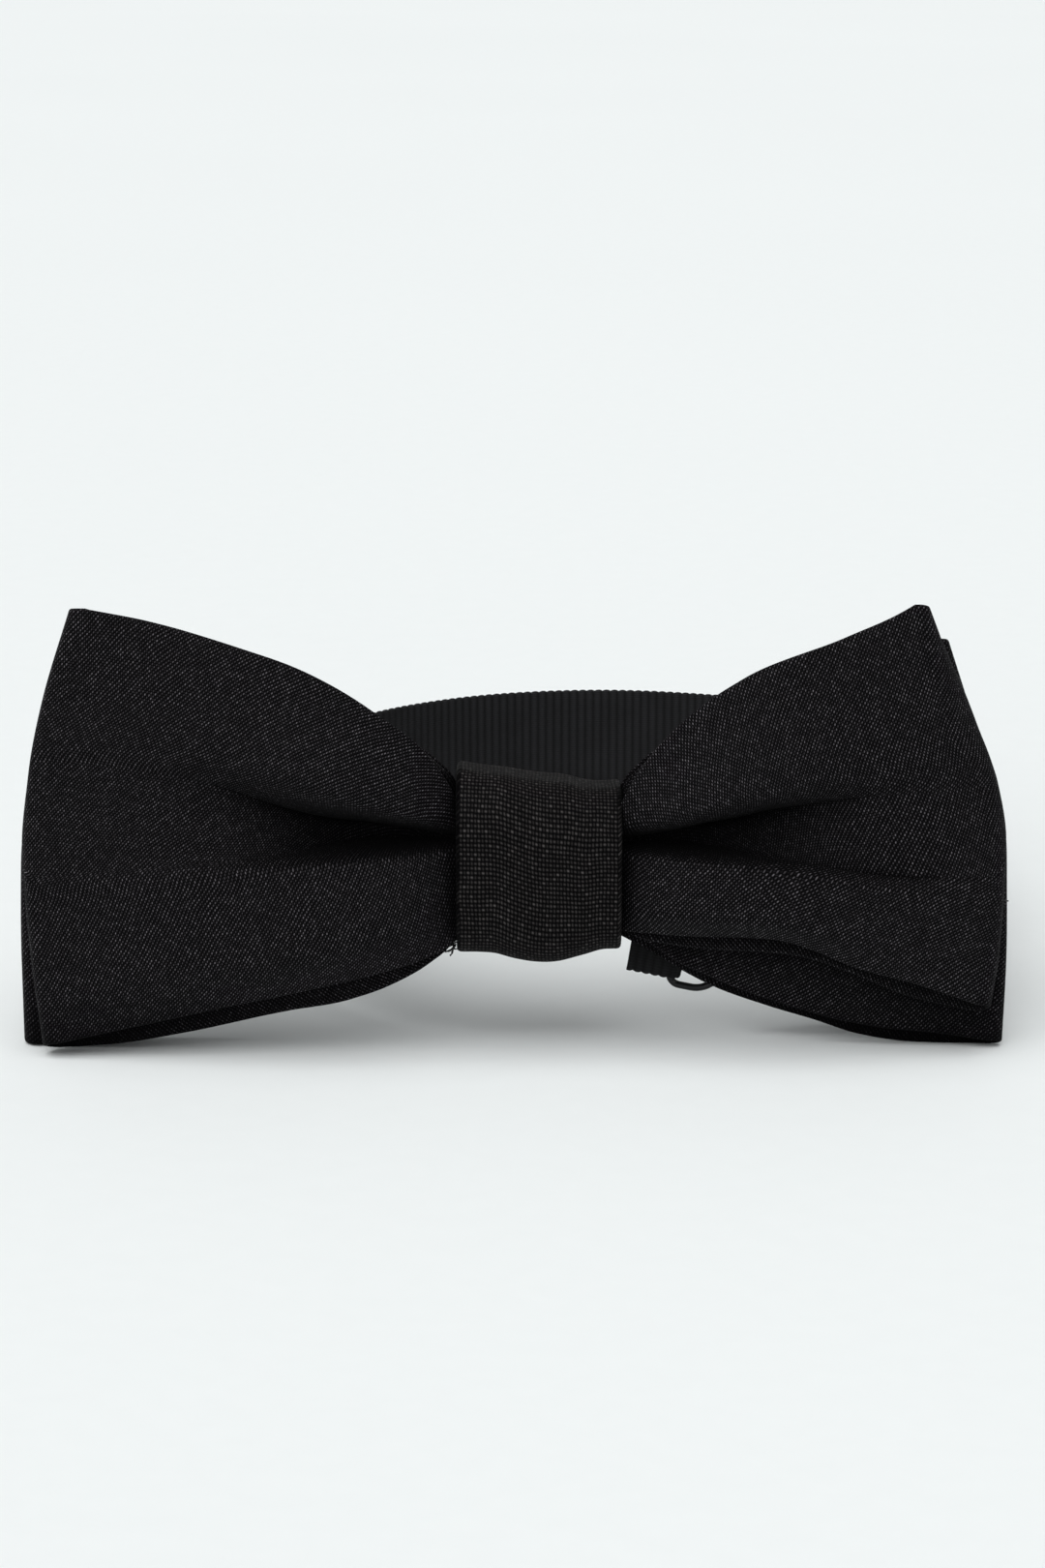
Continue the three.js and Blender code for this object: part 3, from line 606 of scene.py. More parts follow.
def plain_lines(tips, low, high, puff, dip, lean=0.0, rim=0.0, reach=11, valley=0.5, spread=0.13):
    """Fold lines of a ply that is mostly hidden from the front: evenly spread, swollen by puff,
    drawn back by dip about the valley, leaning by lean at the tip and by rim along the lower edge.
    All but dip count outwards from the bow's middle plane. The valley is a share of the height; its
    reach is along the wing and its spread across it."""
    low_at, high_at = curve_through(*low), curve_through(*high)
    rows = []
    for level, tip in zip((0, 0.2, 0.42, 0.5, 0.58, 0.78, 1), tips):
        def height(x, level=level):
            return low_at(x) + level * (high_at(x) - low_at(x))

        def depth(x, level=level):
            out = np.clip((x - WAIST_HALF) / (55 - WAIST_HALF), 0, 1)
            near = np.exp(-((x - 18) / reach) ** 2)
            drawn = math.exp(-((level - valley) / spread) ** 2)
            swell = puff * math.sin(math.pi * level) + rim * max(0, 1 - level / 0.4) ** 2
            return swell * np.sin(math.pi * out) - dip * near * drawn + lean * out ** 2

        rows.append((tip, height, depth))
    return rows


FRONT_BACK_LEFT = plain_lines(
    (60.6, 61.5, 62.2, 62.3, 61.5, 59.3, 55.9),
    ((9.6, 16.2), (11, 14.0), (13.4, 11.9), (18.6, 8.9), (23.4, 7.2), (30.6, 5.9), (42.6, 3.2), (52, 1.4),
     (60, 0.8)),
    ((9.6, 30.8), (10.8, 33.8), (12.7, 36.4), (16, 39.2), (20, 42.3), (28, 46.2), (40, 51), (55, 55.6)),
    puff=-0.2, dip=-2.9, rim=-0.8, valley=0.58, spread=0.2)
FRONT_BACK_RIGHT = plain_lines(
    (55.0, 55.9, 56.2, 56.2, 55.2, 51.8, 46.2),
    ((9.6, 16.2), (12, 15.2), (16, 14.4), (21.6, 13.9), (27.6, 13.7), (32, 13.2), (36.6, 11.7),
     (45.6, 7.8), (54.6, 5.3)),
    ((9.6, 30.8), (10.8, 33.4), (13, 36.2), (18.5, 41.4), (26, 46.2), (36, 51.2), (46, 56)),
    puff=-0.2, dip=-2.9, rim=-1.9, valley=0.54, spread=0.18)
REAR_LEFT_TIPS = (63.5, 63.5, 63.2, 62.9, 61.8, 59, 54.4)
REAR_RIGHT_TIPS = (57.0, 57.2, 56.9, 56.7, 55.6, 52.5, 49.0)
REAR_FRONT_LEFT = plain_lines(
    REAR_LEFT_TIPS,
    ((9.6, 16.2), (11, 14.8), (14, 12.4), (18.6, 10.2), (30.6, 6.9), (42.6, 4.0), (55, 1.2), (63, 0.5)),
    ((9.6, 30.8), (10.6, 33.5), (12.5, 35.8), (16, 38.6), (20, 41.3), (28, 44.8), (40, 48.5), (54, 51.9)),
    puff=0.3, dip=2.2, valley=0.58, spread=0.2)
REAR_BACK_LEFT = plain_lines(
    REAR_LEFT_TIPS,
    ((9.6, 16.2), (11, 14.6), (14, 12.2), (18.6, 9.8), (30.6, 6.2), (42.6, 3.4), (55, 0.9), (63, 0.45)),
    ((9.6, 30.8), (10.6, 33.2), (12.5, 35.4), (16, 38.0), (20, 40.6), (28, 44), (40, 47.8), (54, 51.6)),
    puff=1.6, dip=-1.4)
REAR_FRONT_RIGHT = plain_lines(
    REAR_RIGHT_TIPS,
    ((9.6, 16.0), (12.8, 14.4), (17.1, 11.5), (20.7, 9.8), (24.3, 8.3), (31.5, 5.8), (36.2, 4.4),
     (42.3, 3.2), (49.5, 2.4), (56, 1.3)),
    ((9.6, 30.8), (10.6, 33.2), (12.5, 35.4), (16, 38.4), (20, 41), (28, 44.6), (38, 48.2), (49.3, 51.9)),
    puff=0.3, dip=1.9, lean=0.9, rim=0.9, valley=0.54, spread=0.18)
REAR_BACK_RIGHT = plain_lines(
    REAR_RIGHT_TIPS,
    ((9.6, 14.2), (11, 13.4), (12.9, 12.4), (17.2, 9.7), (20.8, 7.7), (28.1, 4.9), (35.4, 2.7), (39, 1.5),
     (42.6, 0.8), (56, 0.4)),
    ((9.6, 30.8), (10.6, 33), (12.5, 35.2), (16, 38), (20, 40.4), (28, 43.9), (38, 47.6), (49.3, 51.6)),
    puff=0.1, dip=-0.7, lean=-2.0, reach=6)


def fold_rows(values, heights, sharp):
    """Values at the fold lines spread over the rows between them, smooth across every line but
    the sharp ones. Both inputs have one row per line and one column per station."""
    rise = np.diff(heights, axis=0)
    secant = np.diff(values, axis=0) / rise
    before, after = secant[:-1], secant[1:]
    level = before * after <= 0
    mean = np.where(level, 0, 2 * before * after / np.where(level, 1, before + after))
    inner = np.concatenate([secant[:1], mean, secant[-1:]])
    slope_up, slope_down = inner.copy(), inner.copy()
    for line in sharp:
        slope_down[line] = SHARP_SLOPE * secant[line - 1]
        slope_up[line] = SHARP_SLOPE * secant[line]
    rows = [values[:1]]
    for k, count in enumerate(ROWS_BETWEEN):
        t = (np.arange(1, count + 1) / count)[:, None]
        rows.append(cubic(t, values[k], rise[k] * slope_up[k], values[k + 1], rise[k] * slope_down[k + 1]))
    return np.concatenate(rows).T


def even_rows(values):
    """The same number of rows between the fold lines, evenly spread."""
    lines = np.arange(len(values))
    rows = np.interp(np.arange(sum(ROWS_BETWEEN) + 1), np.cumsum((0, *ROWS_BETWEEN)), lines)
    return np.stack([np.interp(rows, lines, station) for station in values.T])


def ripple(x, z, phase):
    """Small unevenness of pressed cloth, under a fifth of a millimetre."""
    broad = np.sin(0.31 * x + 0.22 * z + phase) * np.sin(0.17 * z - 0.12 * x + 2 * phase)
    fine = np.sin(0.83 * x - 0.41 * z + 3 * phase) * np.sin(0.57 * z + 0.2 * x + phase)
    return 0.12 * broad + 0.05 * fine


def ply(wing_lines, side, plane, facing, shares, phase):
    """Points of one wing's ply at shares of the way from the waist to the start of the tip fold.
    facing is -1 for a ply in front of its bow's middle plane and 1 for one behind it."""
    rows = []
    for tip, height, depth in wing_lines:
        x = WAIST_HALF + shares * (tip - PLY_HALF_GAP - WAIST_HALF)
        rows.append((x, height(x), depth(x)))
    reaches, heights, depths = np.array(rows).transpose(1, 0, 2)
    z = even_rows(heights)
    x = fold_rows(reaches, heights, ())
    out = fold_rows(depths, heights, (CREASE, VALLEY))
    calm = np.sin(np.pi * np.clip(shares, 0, 1))[:, None]
    y = plane + facing * (out + calm * ripple(x, z, phase))
    return np.stack([side * x, y, z], -1)


def bow_loop(wings, middle, shares, phase):
    """The closed loop of a bow, from the middle of the left tip: front ply to the right, round the
    right tip, back ply to the left. wings has (front, back) lines, left and right."""
    inward = shares[::-1]

    def half(index, facing, count):
        plane = middle + facing * PLY_HALF_GAP
        left = ply(wings[0][index], -1, plane, facing, inward, phase + count)
        right = ply(wings[1][index], 1, plane, facing, shares, phase + count + 1.3)
        waist = np.linspace(0, 1, 9)[1:-1, None, None]
        return np.concatenate([left, left[-1] + (right[0] - left[-1]) * waist, right])

    front = half(0, -1, 0.4)
    back = half(1, 1, 2.1)[::-1]

    def tip_fold(start, end, side):
        centre = (start + end) / 2
        radius = np.abs(end[:, 1] - start[:, 1]) / 2
        rings = []
        for turn in np.radians(np.linspace(-68, 68, FOLD_STEPS)):
            share = (1 + math.sin(turn)) / 2
            at = start + (end - start) * share
            at[:, 1] = centre[:, 1] + np.sign(end[:, 1] - start[:, 1]) * radius * math.sin(turn)
            at[:, 0] += side * PLY_HALF_GAP * math.cos(turn)
            rings.append(at)
        return np.stack(rings)

    right = tip_fold(front[-1], back[0], 1)
    left = tip_fold(back[-1], front[0], -1)
    half_fold = FOLD_STEPS // 2
    return np.concatenate([left[half_fold:], front, right, back, left[:half_fold]])


def lining_loop(grid):
    """The loop of a bow's lining: its cloth's loop moved inwards, with both edges tucked in."""
    around = np.concatenate([grid[-1:], grid, grid[:1]])
    out = unit(np.cross(np.gradient(around, axis=0)[1:-1], np.gradient(grid, axis=1)))
    inner = grid - LINING_INSET * out
    across_loop = inner[-np.arange(len(inner))]
    low = np.maximum(inner[:, 0, 2], across_loop[:, 0, 2]) + LINING_TUCK
    high = np.minimum(inner[:, -1, 2], across_loop[:, -1, 2]) - LINING_TUCK
    share = np.linspace(0, 1, inner.shape[1])
    inner[..., 2] += (low - inner[:, 0, 2])[:, None] * np.clip(1 - share / 0.3, 0, 1) ** 2
    inner[..., 2] += (high - inner[:, -1, 2])[:, None] * np.clip(1 - (1 - share) / 0.3, 0, 1) ** 2
    return inner[::2, ::2]


def side_uv(side, edge, base):
    """Places in the flat cloth of one side of a bow, tip to tip, with the yarns square to one of
    its edges: row 0 for the lower, row -1 for the upper, which lies at base across the cloth."""
    plan_steps = np.linalg.norm(np.diff(side[..., :2], axis=0), axis=2)
    out = np.concatenate([np.zeros((1, side.shape[1])), np.cumsum(plan_steps, 0)])
    out -= out[len(out) // 2]
    row_steps = np.linalg.norm(np.diff(side, axis=1), axis=2)
    across = np.concatenate([np.zeros((len(side), 1)), np.cumsum(row_steps, 1)], 1)
    across = np.abs(across - across[:, [edge]])

    run = run_lengths(side[:, edge])
    slope = np.gradient(side[:, edge, 2]) / np.gradient(run)
    ends = FOLD_STEPS // 2 + 1
    slope = slope[np.clip(np.arange(-8, len(slope) + 8), ends, len(slope) - ends - 1)]
    kernel = np.hanning(19)[1:-1]
    slope = np.convolve(slope, kernel / kernel.sum(), "valid")[:, None]
    level = np.sqrt(1 - slope ** 2)

    x = out - out[:, [edge]]
    z = side[..., 2] - side[:, [edge], 2]
    stretch = across / np.maximum(np.hypot(x, z), 1e-6)
    along_cloth = run[:, None] + stretch * (x * level + z * slope)
    return np.stack([along_cloth, base + stretch * (z * level - x * slope)], -1)


def bow_uv(grid, cloth_width):
    """Places in the flat strip, once from its lower edge and once from its upper edge: the pleat
    takes up the difference between the two."""
    loop = np.concatenate([grid, grid[:1]])
    middle = len(grid) // 2
    both = []
    for edge, base in ((0, 0.0), (-1, cloth_width)):
        front = side_uv(loop[:middle + 1], edge, base)
        back = side_uv(loop[middle:], edge, base)
        back[..., 0] += front[-1, edge, 0]
        both.append(np.concatenate([front, back[1:]]))
    return both


WING_SHARES = np.concatenate([[0], np.linspace(0.012, 1, 46) ** 1.25])  # closer near the knot


def add_bow(name, wings, middle, phase, flat):
    grid = bow_loop(wings, middle, WING_SHARES, phase)
    uv = bow_uv(grid, flat[0] / MM)
    piece = cloth(name + "_cloth", grid, PLY, uv, BOW_CLOTH, closed=True, seam=sum(ROWS_BETWEEN[:CREASE]))
    settle(piece, "bow", name)

    inner = lining_loop(grid)
    loop = np.concatenate([inner, inner[:1]])
    felt = cloth(name + "_lining", inner, LINING, loop[..., [0, 2]], STIFFENER, closed=True)
    settle(felt, "bow", name + "_interlining")


def catmull(points, steps):
    """A smooth line through a few points."""
    points = np.asarray(points, float)
    ends = np.concatenate([[2 * points[0] - points[1]], points, [2 * points[-1] - points[-2]]])
    line = []
    for a, b, c, d in zip(ends, ends[1:], ends[2:], ends[3:]):
        for t in np.arange(steps) / steps:
            line.append(0.5 * (2 * b + (c - a) * t + (2 * a - 5 * b + 4 * c - d) * t ** 2
                               + (3 * b - a - 3 * c + d) * t ** 3))
    return np.array([*line, points[-1]])


def add_thread(name, lines_of_points, node, body="bow", radius=THREAD):
    smooth = [catmull(points, 5) for points in lines_of_points]
    piece = tubes(name, smooth, radius, SEWING_THREAD, sides=8, twist=0.9)
    settle(piece, body, node)


def add_stitches(name, node, count, first, pitch, shape, at, **thread):
    """A row of stitches, each laid through shape: how far along, how far out and how far up."""
    rows = first + pitch * np.arange(count)
    add_thread(name, [[at(along, out, row + up) for along, out, up in shape] for row in rows], node, **thread)


def add_stray_threads():
    """Frayed ends: a tuft under the knot's left end and a short one at the right tip."""
    hairs = []
    for i in range(7):
        spread = math.sin(2.4 * i)
        start = np.array((-10.3 + 0.25 * spread, -4.6 + 0.3 * i, 14.4))
        reach = np.array((-1.1 * spread - 0.5, -0.8, -0.6 - 0.35 * math.cos(1.7 * i)))
        hairs.append([start, start + 0.5 * reach + (0, 0, -0.25), start + reach])
    for i in range(5):
        start = np.array((55.2, -3.6 + 0.2 * i, 19.6 + 0.3 * math.sin(2 * i)))
        reach = np.array((1.9 - 0.2 * i, -0.2, 0.5 * math.cos(2.2 * i)))
        hairs.append([start, start + 0.6 * reach, start + reach + (0, 0, -0.2)])
    add_thread("stray_threads", hairs, None, radius=STRAY_THREAD)


def add_seam(name, middle, node):
    """Whip stitches that close a bow's strip on its rear ply, inside the knot."""
    face = middle + PLY_HALF_GAP + PLY / 2
    shape = (5.0, -0.1, 0), (5.3, 0.2, 0.15), (5.9, 0.24, 0.35), (6.4, 0.2, 0.55), (6.7, -0.1, 0.65)
    add_stitches(name, node, 12, 17.8, 0.95, shape, lambda x, out, z: (x, face + out, z))


def add_waist_thread():
    front, back = FRONT_BOW_Y - 2.2, REAR_BOW_Y + 2.3
    low, high = 15.2, 31.6
    corners = [(front, low), (front, high), (back, high), (back, low)]
    points = []
    for i in range(10):
        y, z = corners[i % 4]
        before, after = corners[(i + 3) % 4], corners[(i + 1) % 4]
        x = (i / 4 - 1.25) * 1.4
        for (other_y, other_z), shift in ((before, 0.0), (after, 0.14)):
            points.append((x + shift, y + np.sign(other_y - y) * 1.1, z + np.sign(other_z - z) * 1.1))
    add_thread("waist_winding", [points], "waist_thread", radius=WINDING_THREAD)


# ------ knot

def rounded_section(corners, radii, steps):
    """A path in the YZ plane through corners, each rounded by its own radius."""
    corners = [np.array(corner, float) for corner in corners]
    points = corners[:1]
    for before, here, after, radius in zip(corners, corners[1:], corners[2:], radii):
        start, end = unit(before - here) * radius, unit(after - here) * radius
        for turn in np.linspace(0, math.pi / 2, steps):
            points.append(here + start * (1 - math.sin(turn)) + end * (1 - math.cos(turn)))
    return np.array([*points, corners[-1]])


KNOT_TOP = curve_through((-10, 34.35), (-7.3, 33.9), (-4.2, 33.55), (-0.8, 32.95), (3.2, 32.55), (5.3, 32.0),
                         (7.6, 31.8), (10, 31.95))
KNOT_BOTTOM = curve_through((-10, 13.6), (-7.3, 13.7), (-5.2, 13.6), (-3.1, 13.0), (-0.8, 12.6), (2.1, 12.6),
                            (5.3, 13.4), (7.4, 14.0), (10, 14.0))


def wrap_path(x):
    top, bottom = KNOT_TOP(x), KNOT_BOTTOM(x)
    round_off = 0.5 * (abs(x) / KNOT_HALF) ** 6
    front = KNOT_FRONT_Y - 0.35 * math.cos(math.pi * x / 24) + round_off
    corners = [(KNOT_BACK_Y, FLAP_START), (KNOT_BACK_Y, top), (front, top + KNOT_FRONT_RISE), (front, bottom),
               (FLAP_Y, bottom), (FLAP_Y, FLAP_TOP)]
    path = rounded_section(corners, (3.4, 7.0, 5.4, 3.4), 14)
    return softened(np.concatenate([np.full((len(path), 1), x), path], 1), 1)


def lining_path(x):
    top, bottom = KNOT_TOP(x) - KNOT_LINING_INSET, KNOT_BOTTOM(x) + KNOT_LINING_INSET
    middle = (top + bottom) / 2
    back, front = KNOT_BACK_Y - KNOT_LINING_INSET, KNOT_FRONT_Y + KNOT_LINING_INSET
    corners = [(back, middle + GAP), (back, top), (front, top), (front, bottom), (back, bottom),
               (back, middle - GAP)]
    path = rounded_section(corners, (2.6, 3.6, 4.3, 2.6), 8)
    return np.concatenate([np.full((len(path), 1), x), path], 1)


def strip_over(paths, count):
    """Paths side by side, each resampled to the same number of stations: stations x columns."""
    grid = []
    for path in paths:
        run = run_lengths(path)
        grid.append(resampled(path, run, np.linspace(0, run[-1], count)))
    return np.stack(grid, 1)


def grid_uv(grid):
    """Flat places of an open grid: along each column's run and across each station's rows."""
    along = np.linalg.norm(np.diff(grid, axis=0), axis=2).mean(1)
    across = np.linalg.norm(np.diff(grid, axis=1), axis=2).mean(0)
    run = np.concatenate([[0], np.cumsum(along)])
    width = np.concatenate([[0], np.cumsum(across)])
    return np.stack(np.meshgrid(run, width, indexing="ij"), -1)


def add_knot():
    columns = KNOT_HALF - WRAP / 2
    grid = strip_over([wrap_path(x) for x in np.linspace(-columns, columns, 41)], 190)
    station = np.arange(len(grid))[:, None]
    x = grid[..., 0]
    flow = 0.1 * np.sin(0.7 * x + 0.06 * station) * np.sin(0.09 * station + 0.4 * x)
    grid[..., 1] += flow * smoothstep(KNOT_HALF - np.abs(x), 0, 3)
    uv = grid_uv(grid)[..., ::-1]
    uv[..., 1] += WEFT_SAG * (1 - (x / KNOT_HALF) ** 2)
    wrap = cloth("knot_wrap_cloth", grid, WRAP, uv, KNOT_CLOTH)
    settle(wrap, "bow", "knot_wrap")

    edge = KNOT_HALF - 0.4
    inner = strip_over([lining_path(x) for x in np.linspace(-edge, edge, 13)], 70)
    felt = cloth("knot_lining", inner, KNOT_LINING, grid_uv(inner), STIFFENER)
    settle(felt, "bow", "knot_interlining")

    face = FLAP_Y + WRAP / 2
    shape = ((25.9, -0.12, 0), (26.2, 0.16, 0.1), (26.9, 0.2, 0.3), (27.35, 0.05, 0.4), (27.8, -1.0, 0.5),
             (28.1, -1.4, 0.55))
    add_stitches("flap_stitches", "knot_back_stitch", 15, -7.2, 1, shape,
                 lambda z, out, x: (x, face + out, z))


# ------ ribbon

def in_clasp(along, behind, up):
    return EYE_BAR + CLASP_ALONG * along + CLASP_BACK * behind + CLASP_UP * up


def bezier(a, b, c, count=40):
    t = np.linspace(0, 1, count)[:, None]
    a, b, c = (np.array(p, float) for p in (a, b, c))
    return a * (1 - t) ** 2 + 2 * b * t * (1 - t) + c * t * t


def bar_fold(centre, radius, behind, rise, turns, outward):
    """Points round a clasp bar, by angle from the clasp's back direction."""
    return [in_clasp(centre + outward * radius * math.sin(turn), behind + radius * math.cos(turn), rise)
            for turn in turns]


def upright_for(points):
    """The width direction of a ribbon whose edge stays as upright as its run allows."""
    run = unit(np.gradient(points, axis=0))
    return unit(UP - run * run[:, 2:3])


def ribbon_grid(points, across, widths, phase):
    """A ribbon's rows: selvedges scalloped with the ribs and a little uneven."""
    run = run_lengths(points)
    levels = np.linspace(-1, 1, 11)
    scallop = 0.06 * np.abs(np.cos(np.pi * (run + phase) / RIB))
    half = (widths - RIBBON_THICK) / 2 - 0.06 + scallop
    grid = points[:, None] + across[:, None] * (levels[None, :, None] * half[:, None, None])
    normal = unit(np.cross(np.gradient(points, axis=0), across))
    wave = 0.05 * np.sin(0.21 * run[:, None] + 2.1 * levels[None]) * np.sin(0.13 * run + 1)[:, None]
    return grid + normal[:, None] * wave[..., None], run


def add_ribbon(name, points, across, widths, phase=0.0):
    """A ribbon with its cross ribs as real relief, at six stations to a rib."""
    run = run_lengths(points)
    places = np.linspace(0, run[-1], round(6 * run[-1] / RIB) + 1)
    across = unit(resampled(across, run, places))
    points = softened(resampled(points, run, places), 4)
    grid, run = ribbon_grid(points, across, np.interp(places, run, widths), phase)
    rib = np.abs(np.cos(np.pi * (run + phase) / RIB)) ** 0.8
    thick = RIBBON_THICK * (0.62 + 0.38 * rib)[:, None] * np.ones((1, grid.shape[1]))
    uv = grid_uv(grid)
    uv[..., 0] += phase + RIB / 2
    return cloth(name, grid, thick, uv, GROSGRAIN)


def hinge_points():
    """From the left end of the knot round the bend to the flexing line."""
    turn = np.linspace(0, HINGE_ANGLE, 20)
    x = -KNOT_EXIT - HINGE_BEND * np.sin(turn)
    y = RIBBON_Y + HINGE_BEND * (1 - np.cos(turn))
    return np.stack([x, y, np.full_like(x, RIBBON_Z)], 1)


HALF_HINGE_GAP = np.array((-1, 1, 0)) * 0.5 * HINGE_GAP * math.cos(HINGE_ANGLE)
HINGE = hinge_points()[-1] + HALF_HINGE_GAP
HOOK_PLACE = in_clasp(HOOK_BAR + 0.3, HOOK_BACK - HOOK_FOLD, HOOK_RISE)


def loop_plan():
    """The loop from the flexing line round the back to the hook: plan points of its stretches."""
    start = HINGE[:2] + HALF_HINGE_GAP[:2]
    bend_y = start[1] + (start[0] - LOOP_LEFT) * math.tan(HINGE_ANGLE)
    middle, half = (LOOP_LEFT + LOOP_RIGHT) / 2, (LOOP_RIGHT - LOOP_LEFT) / 2
    turn = np.linspace(math.pi, 0, 160)
    return {
        "left_bend": bezier(start, (LOOP_LEFT, bend_y), (LOOP_LEFT, LOOP_LEFT_FRONT)),
        "left_side": bezier((LOOP_LEFT, LOOP_LEFT_FRONT), (LOOP_LEFT, 50), (LOOP_LEFT, LOOP_ARC_Y)),
        "back": np.stack([middle + half * np.cos(turn), LOOP_ARC_Y + LOOP_DEPTH * np.sin(turn)], 1),
        "right_side": bezier((LOOP_RIGHT, LOOP_ARC_Y), (LOOP_RIGHT, 45), (LOOP_RIGHT, LOOP_RIGHT_FRONT)),
        "right_bend": bezier((LOOP_RIGHT, LOOP_RIGHT_FRONT), (LOOP_RIGHT, HOOK_PLACE[1]), HOOK_PLACE[:2], 60),
    }


PLAN = loop_plan()


def plan_length(*names):
    return sum(run_lengths(PLAN[name])[-1] for name in names)


LEFT_DROP = plan_length("left_bend", "left_side")
RIGHT_RISE = plan_length("right_bend")
HOOK_Z = HOOK_PLACE[2]


def left_height(distance):
    return RIBBON_Z + (STANDING_Z - RIBBON_Z) * smoothstep(distance, 0, LEFT_DROP)


def right_height(share):
    rise = HOOK_Z - SLIDER_Z
    return SLIDER_Z + rise * share ** (math.tan(CLASP_TILT) * RIGHT_RISE / rise)


def raised(plan, height):
    """Plan points with the height that a function gives for the share of the run."""
    run = run_lengths(plan)
    return np.concatenate([plan, height(run / run[-1])[:, None]], 1)


def loop_points():
    bend, side = plan_length("left_bend"), plan_length("left_side")
    return np.concatenate([
        raised(PLAN["left_bend"], lambda s: left_height(s * bend)),
        raised(PLAN["left_side"], lambda s: left_height(bend + s * side))[1:],
        raised(PLAN["back"], lambda s: STANDING_Z + (SLIDER_Z - STANDING_Z) * smoothstep(s, 0.6, 1))[1:],
        raised(PLAN["right_side"], lambda s: np.full_like(s, SLIDER_Z))[1:],
        raised(PLAN["right_bend"], right_height)[1:],
    ])


SPLICE = 9.0  # past the flexing line, where the loop's own piece starts


def add_front_band():
    """Through the knot to the clasp eye, round its bar and back to a cut end beside the knot."""
    start = np.array((-KNOT_HALF + 1, RIBBON_Y, RIBBON_Z))
    inside = np.array((KNOT_EXIT - 1.2, RIBBON_Y, RIBBON_Z))
    end = in_clasp(-1, EYE_FOLD, 0)
    fold = bar_fold(0, EYE_FOLD, 0, 0, HALF_TURN, 1)
    shares = np.linspace(0, 1, 12)[:, None]
    to_clasp = inside + (end - inside) * shares
    tail_length = (EYE_BAR[0] - KNOT_HALF - 2.5) / math.cos(CLASP_TILT)
    tail = [in_clasp(-tail_length * s, -EYE_FOLD, 0) for s in np.linspace(0.1, 1, 10)]
    points = np.concatenate([[start], to_clasp, fold, tail])
    twist = np.concatenate([[0], shares[:, 0], np.ones(len(fold)), np.linspace(1, 0.75, 10)])
    across = unit(UP * (1 - twist)[:, None] + CLASP_UP * twist[:, None])
    open_out = np.concatenate([[0], np.clip(1.4 * shares[:, 0], 0, 1), np.ones(len(fold) + 10)])
    widths = RIBBON_IN_KNOT + (RIBBON - RIBBON_IN_KNOT) * open_out
    piece = add_ribbon("front_band_ribbon", points, across, widths)
    settle(piece, "bow", "front_band")

    face = EYE_FOLD + RIBBON_THICK / 2
    shape = (-5.3, -0.2, 0), (-5.1, 0.14, 0.04), (-4.3, 0.2, 0.16), (-3.5, 0.14, 0.28), (-3.3, -0.2, 0.32)
    add_stitches("tab_bar_tack", "tab_stitch", 22, -5.6, 0.52, shape,
                 lambda along, out, up: in_clasp(along, face + out, up), radius=TACK_THREAD)


def add_neck_band():
    """The ribbon's bend beside the knot and the loop up to the hook."""
    loop = loop_points()
    run = run_lengths(loop)
    first = loop[run <= SPLICE + 0.01]
    knot_side = np.concatenate([[(-KNOT_HALF + 1, RIBBON_Y, RIBBON_Z)], hinge_points()])
    bend = np.concatenate([knot_side, first])
    bend_run = run_lengths(bend)
    widths = RIBBON_IN_KNOT + (RIBBON - RIBBON_IN_KNOT) * smoothstep(bend_run, 1.5, 9)
    elbow = add_ribbon("band_elbow", bend, upright_for(bend), widths)
    line = np.array((-1, 1, 0)) / math.sqrt(2)
    before, after = HINGE - line * FLEX_HALF, HINGE + line * FLEX_HALF
    tuple(place(before))
    tuple(place(after))
    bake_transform(elbow)

    rest = loop[run >= run[len(first) - 1]]
    across = upright_for(loop)[run >= run[len(first) - 1]]
    # the last few points turn to the hook's own slope
    near_hook = smoothstep(np.arange(len(rest)), len(rest) - 14, len(rest) - 1)[:, None]
    across = unit(across * (1 - near_hook) + CLASP_UP * near_hook)
    fold = np.array(bar_fold(HOOK_BAR, HOOK_FOLD, HOOK_BACK, HOOK_RISE, HALF_TURN[::-1], -1))
    end = in_clasp(HOOK_BAR + 1.6, HOOK_BACK + HOOK_FOLD, HOOK_RISE)
    points = np.concatenate([rest, fold, [end]])
    across = np.concatenate([across, np.tile(CLASP_UP, (len(fold) + 1, 1))])
    phase = bend_run[-1] % RIB
    band = add_ribbon("neck_band_ribbon", points, across, np.full(len(points), RIBBON), phase)
    settle(band, "neck_band", "neck_band")


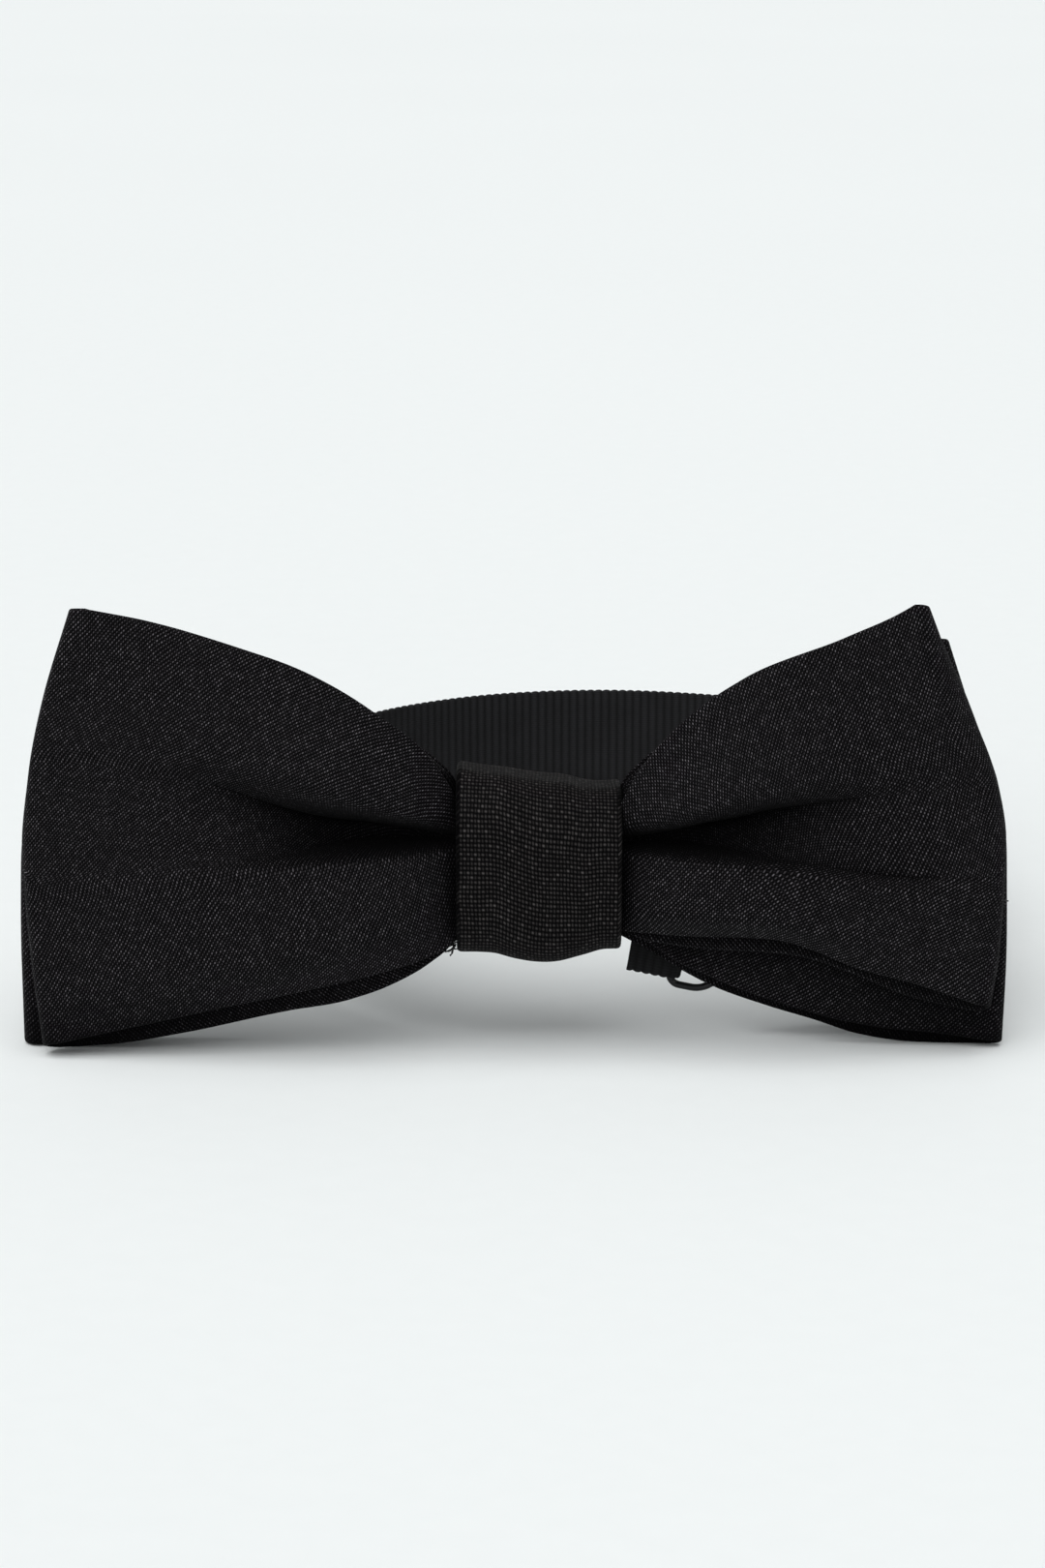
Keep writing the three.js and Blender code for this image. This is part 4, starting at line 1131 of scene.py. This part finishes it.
def add_return_ply():
    """The ribbon's end, back along the inside of the band, round the slider's bar and sewn down."""
    plan = PLAN["right_bend"]
    run = run_lengths(plan)
    share = run / run[-1]
    along = unit(np.gradient(plan, axis=0))
    inward = RETURN_INSET + (2 * HOOK_FOLD - RETURN_INSET) * share ** 2
    inner = plan + np.stack([along[:, 1], -along[:, 0]], 1) * inward[:, None]
    bend = np.concatenate([inner, right_height(share)[:, None]], 1)[::-1]
    bend = bend[(1 - share[::-1]) > 0.1]
    line = LOOP_RIGHT - RETURN_INSET
    straight = [(line, y, SLIDER_Z) for y in np.arange(LOOP_RIGHT_FRONT + 4, SLIDER_Y + 1, 4)]
    fold = [(BAR_X + BAR_FOLD * math.cos(turn), SLIDER_Y + BAR_FOLD * math.sin(turn), SLIDER_Z)
            for turn in HALF_TURN[1:]]
    tail = [(BAR_X - BAR_FOLD, y, SLIDER_Z) for y in np.arange(SLIDER_Y - 2, SLIDER_Y - 8.1, -2)]
    points = np.concatenate([bend, straight, fold, tail])
    piece = add_ribbon("return_ply_ribbon", points, upright_for(points), np.full(len(points), RIBBON))
    start, end = (tuple(place((line, y, SLIDER_Z))) for y in (LOOP_RIGHT_FRONT, SLIDER_Y - 9))
    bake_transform(piece)
    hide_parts("return_ply")

    face = BAR_X - BAR_FOLD - RIBBON_THICK / 2
    shape = (-5.4, -0.2, 0), (-5.2, 0.14, 0.04), (-4.7, 0.2, 0.15), (-4.2, 0.14, 0.26), (-4.0, -0.2, 0.3)
    add_stitches("slider_bar_tack", "slider_stitch", 26, SLIDER_Z - 7, 0.54, shape,
                 lambda y, out, z: (face - out, SLIDER_Y + y, z), body="slider", radius=TACK_THREAD)


# ------ clasp and slider

def add_eye():
    half = RIBBON / 2 + SIDE_ROOM + WIRE
    points = []
    for x, z, first in ((0, -half, 180), (EYE_LENGTH, -half, 270), (EYE_LENGTH, half, 0), (0, half, 90)):
        corner = EYE_OUTER_CORNER if x > 0 else EYE_BAR_CORNER
        centre_x = x - math.copysign(corner, x - 1)
        centre_z = z - math.copysign(corner, z)
        for turn in np.radians(first + np.arange(0, 91, 7.5)):
            along, up = centre_x + corner * math.cos(turn), centre_z + corner * math.sin(turn)
            points.append(in_clasp(along, 0, up))
    eye = tubes("clasp_eye_wire", [points], WIRE, BLACK_METAL, sides=20, closed=True)
    settle(eye, "clasp_eye", "clasp_eye")


def add_stamped(name, node, body):
    settle(rounded_copy(name, node, STAMPED_EDGE, BLACK_METAL), body, node)


# ------ stage

def add_camera():
    """A little above the bow, square on to the knot."""
    elevation = math.radians(15)
    distance = 450
    target = np.array((-2.0, 0.0, 33.6))
    back = np.array((0, -math.cos(elevation), math.sin(elevation)))
    data = bpy.data.cameras.new("camera")
    data.sensor_fit = "HORIZONTAL"
    data.sensor_width = 24
    data.lens = 85
    data.clip_start = 0.01
    data.clip_end = 50
    camera = link("camera", data)
    camera.location = place(target + back * distance)
    camera.rotation_euler = (math.pi / 2 - elevation, 0, 0)
    bpy.context.scene.camera = camera


def add_floor():
    mesh = bpy.data.meshes.new("floor")
    size = 12
    corners = [(-size, -size, 0), (size, -size, 0), (size, size, 0), (-size, size, 0)]
    mesh.from_pydata(corners, [], [(0, 1, 2, 3)])
    mesh.materials.append(floor_paper("floor_paper"))
    link("floor", mesh)


def add_light(name, strength, rotation, angle):
    data = bpy.data.lights.new(name, "SUN")
    data.energy = strength
    data.angle = math.radians(angle)
    link(name, data).rotation_euler = [math.radians(a) for a in rotation]


def add_studio():
    world = bpy.data.worlds.new("studio")
    world.use_nodes = True
    background = world.node_tree.nodes["Background"]
    background.inputs["Color"].default_value = (0.97, 0.995, 1.0, 1)
    background.inputs["Strength"].default_value = 0.18
    bpy.context.scene.world = world
    add_light("top_softbox", 2.2, (23, 0, -15), 65)
    add_light("front_softbox", 1.3, (60, 0, -25), 60)
    add_light("back_softbox", 0.15, (-42, 0, 0), 70)
    bpy.context.scene.view_settings.view_transform = "Standard"
    bpy.context.scene.view_settings.look = "None"


add_camera()
add_floor()
add_studio()

add_bow("front_bow", ((LEFT_FACE, FRONT_BACK_LEFT), (RIGHT_FACE, FRONT_BACK_RIGHT)), FRONT_BOW_Y,
        phase=0.7, flat=(0.057, 0.232))
add_bow("rear_bow", ((REAR_FRONT_LEFT, REAR_BACK_LEFT), (REAR_FRONT_RIGHT, REAR_BACK_RIGHT)), REAR_BOW_Y,
        phase=3.9, flat=(0.053, 0.238))
add_seam("front_seam_stitches", FRONT_BOW_Y, "front_bow_seam")
add_seam("rear_seam_stitches", REAR_BOW_Y, "rear_bow_seam")
add_waist_thread()
add_stray_threads()
add_knot()
add_front_band()
add_neck_band()
add_return_ply()
add_eye()
add_stamped("clasp_hook_plate", "clasp_hook", "clasp_hook")
add_stamped("slider_frame", "adjuster_slider", "slider")
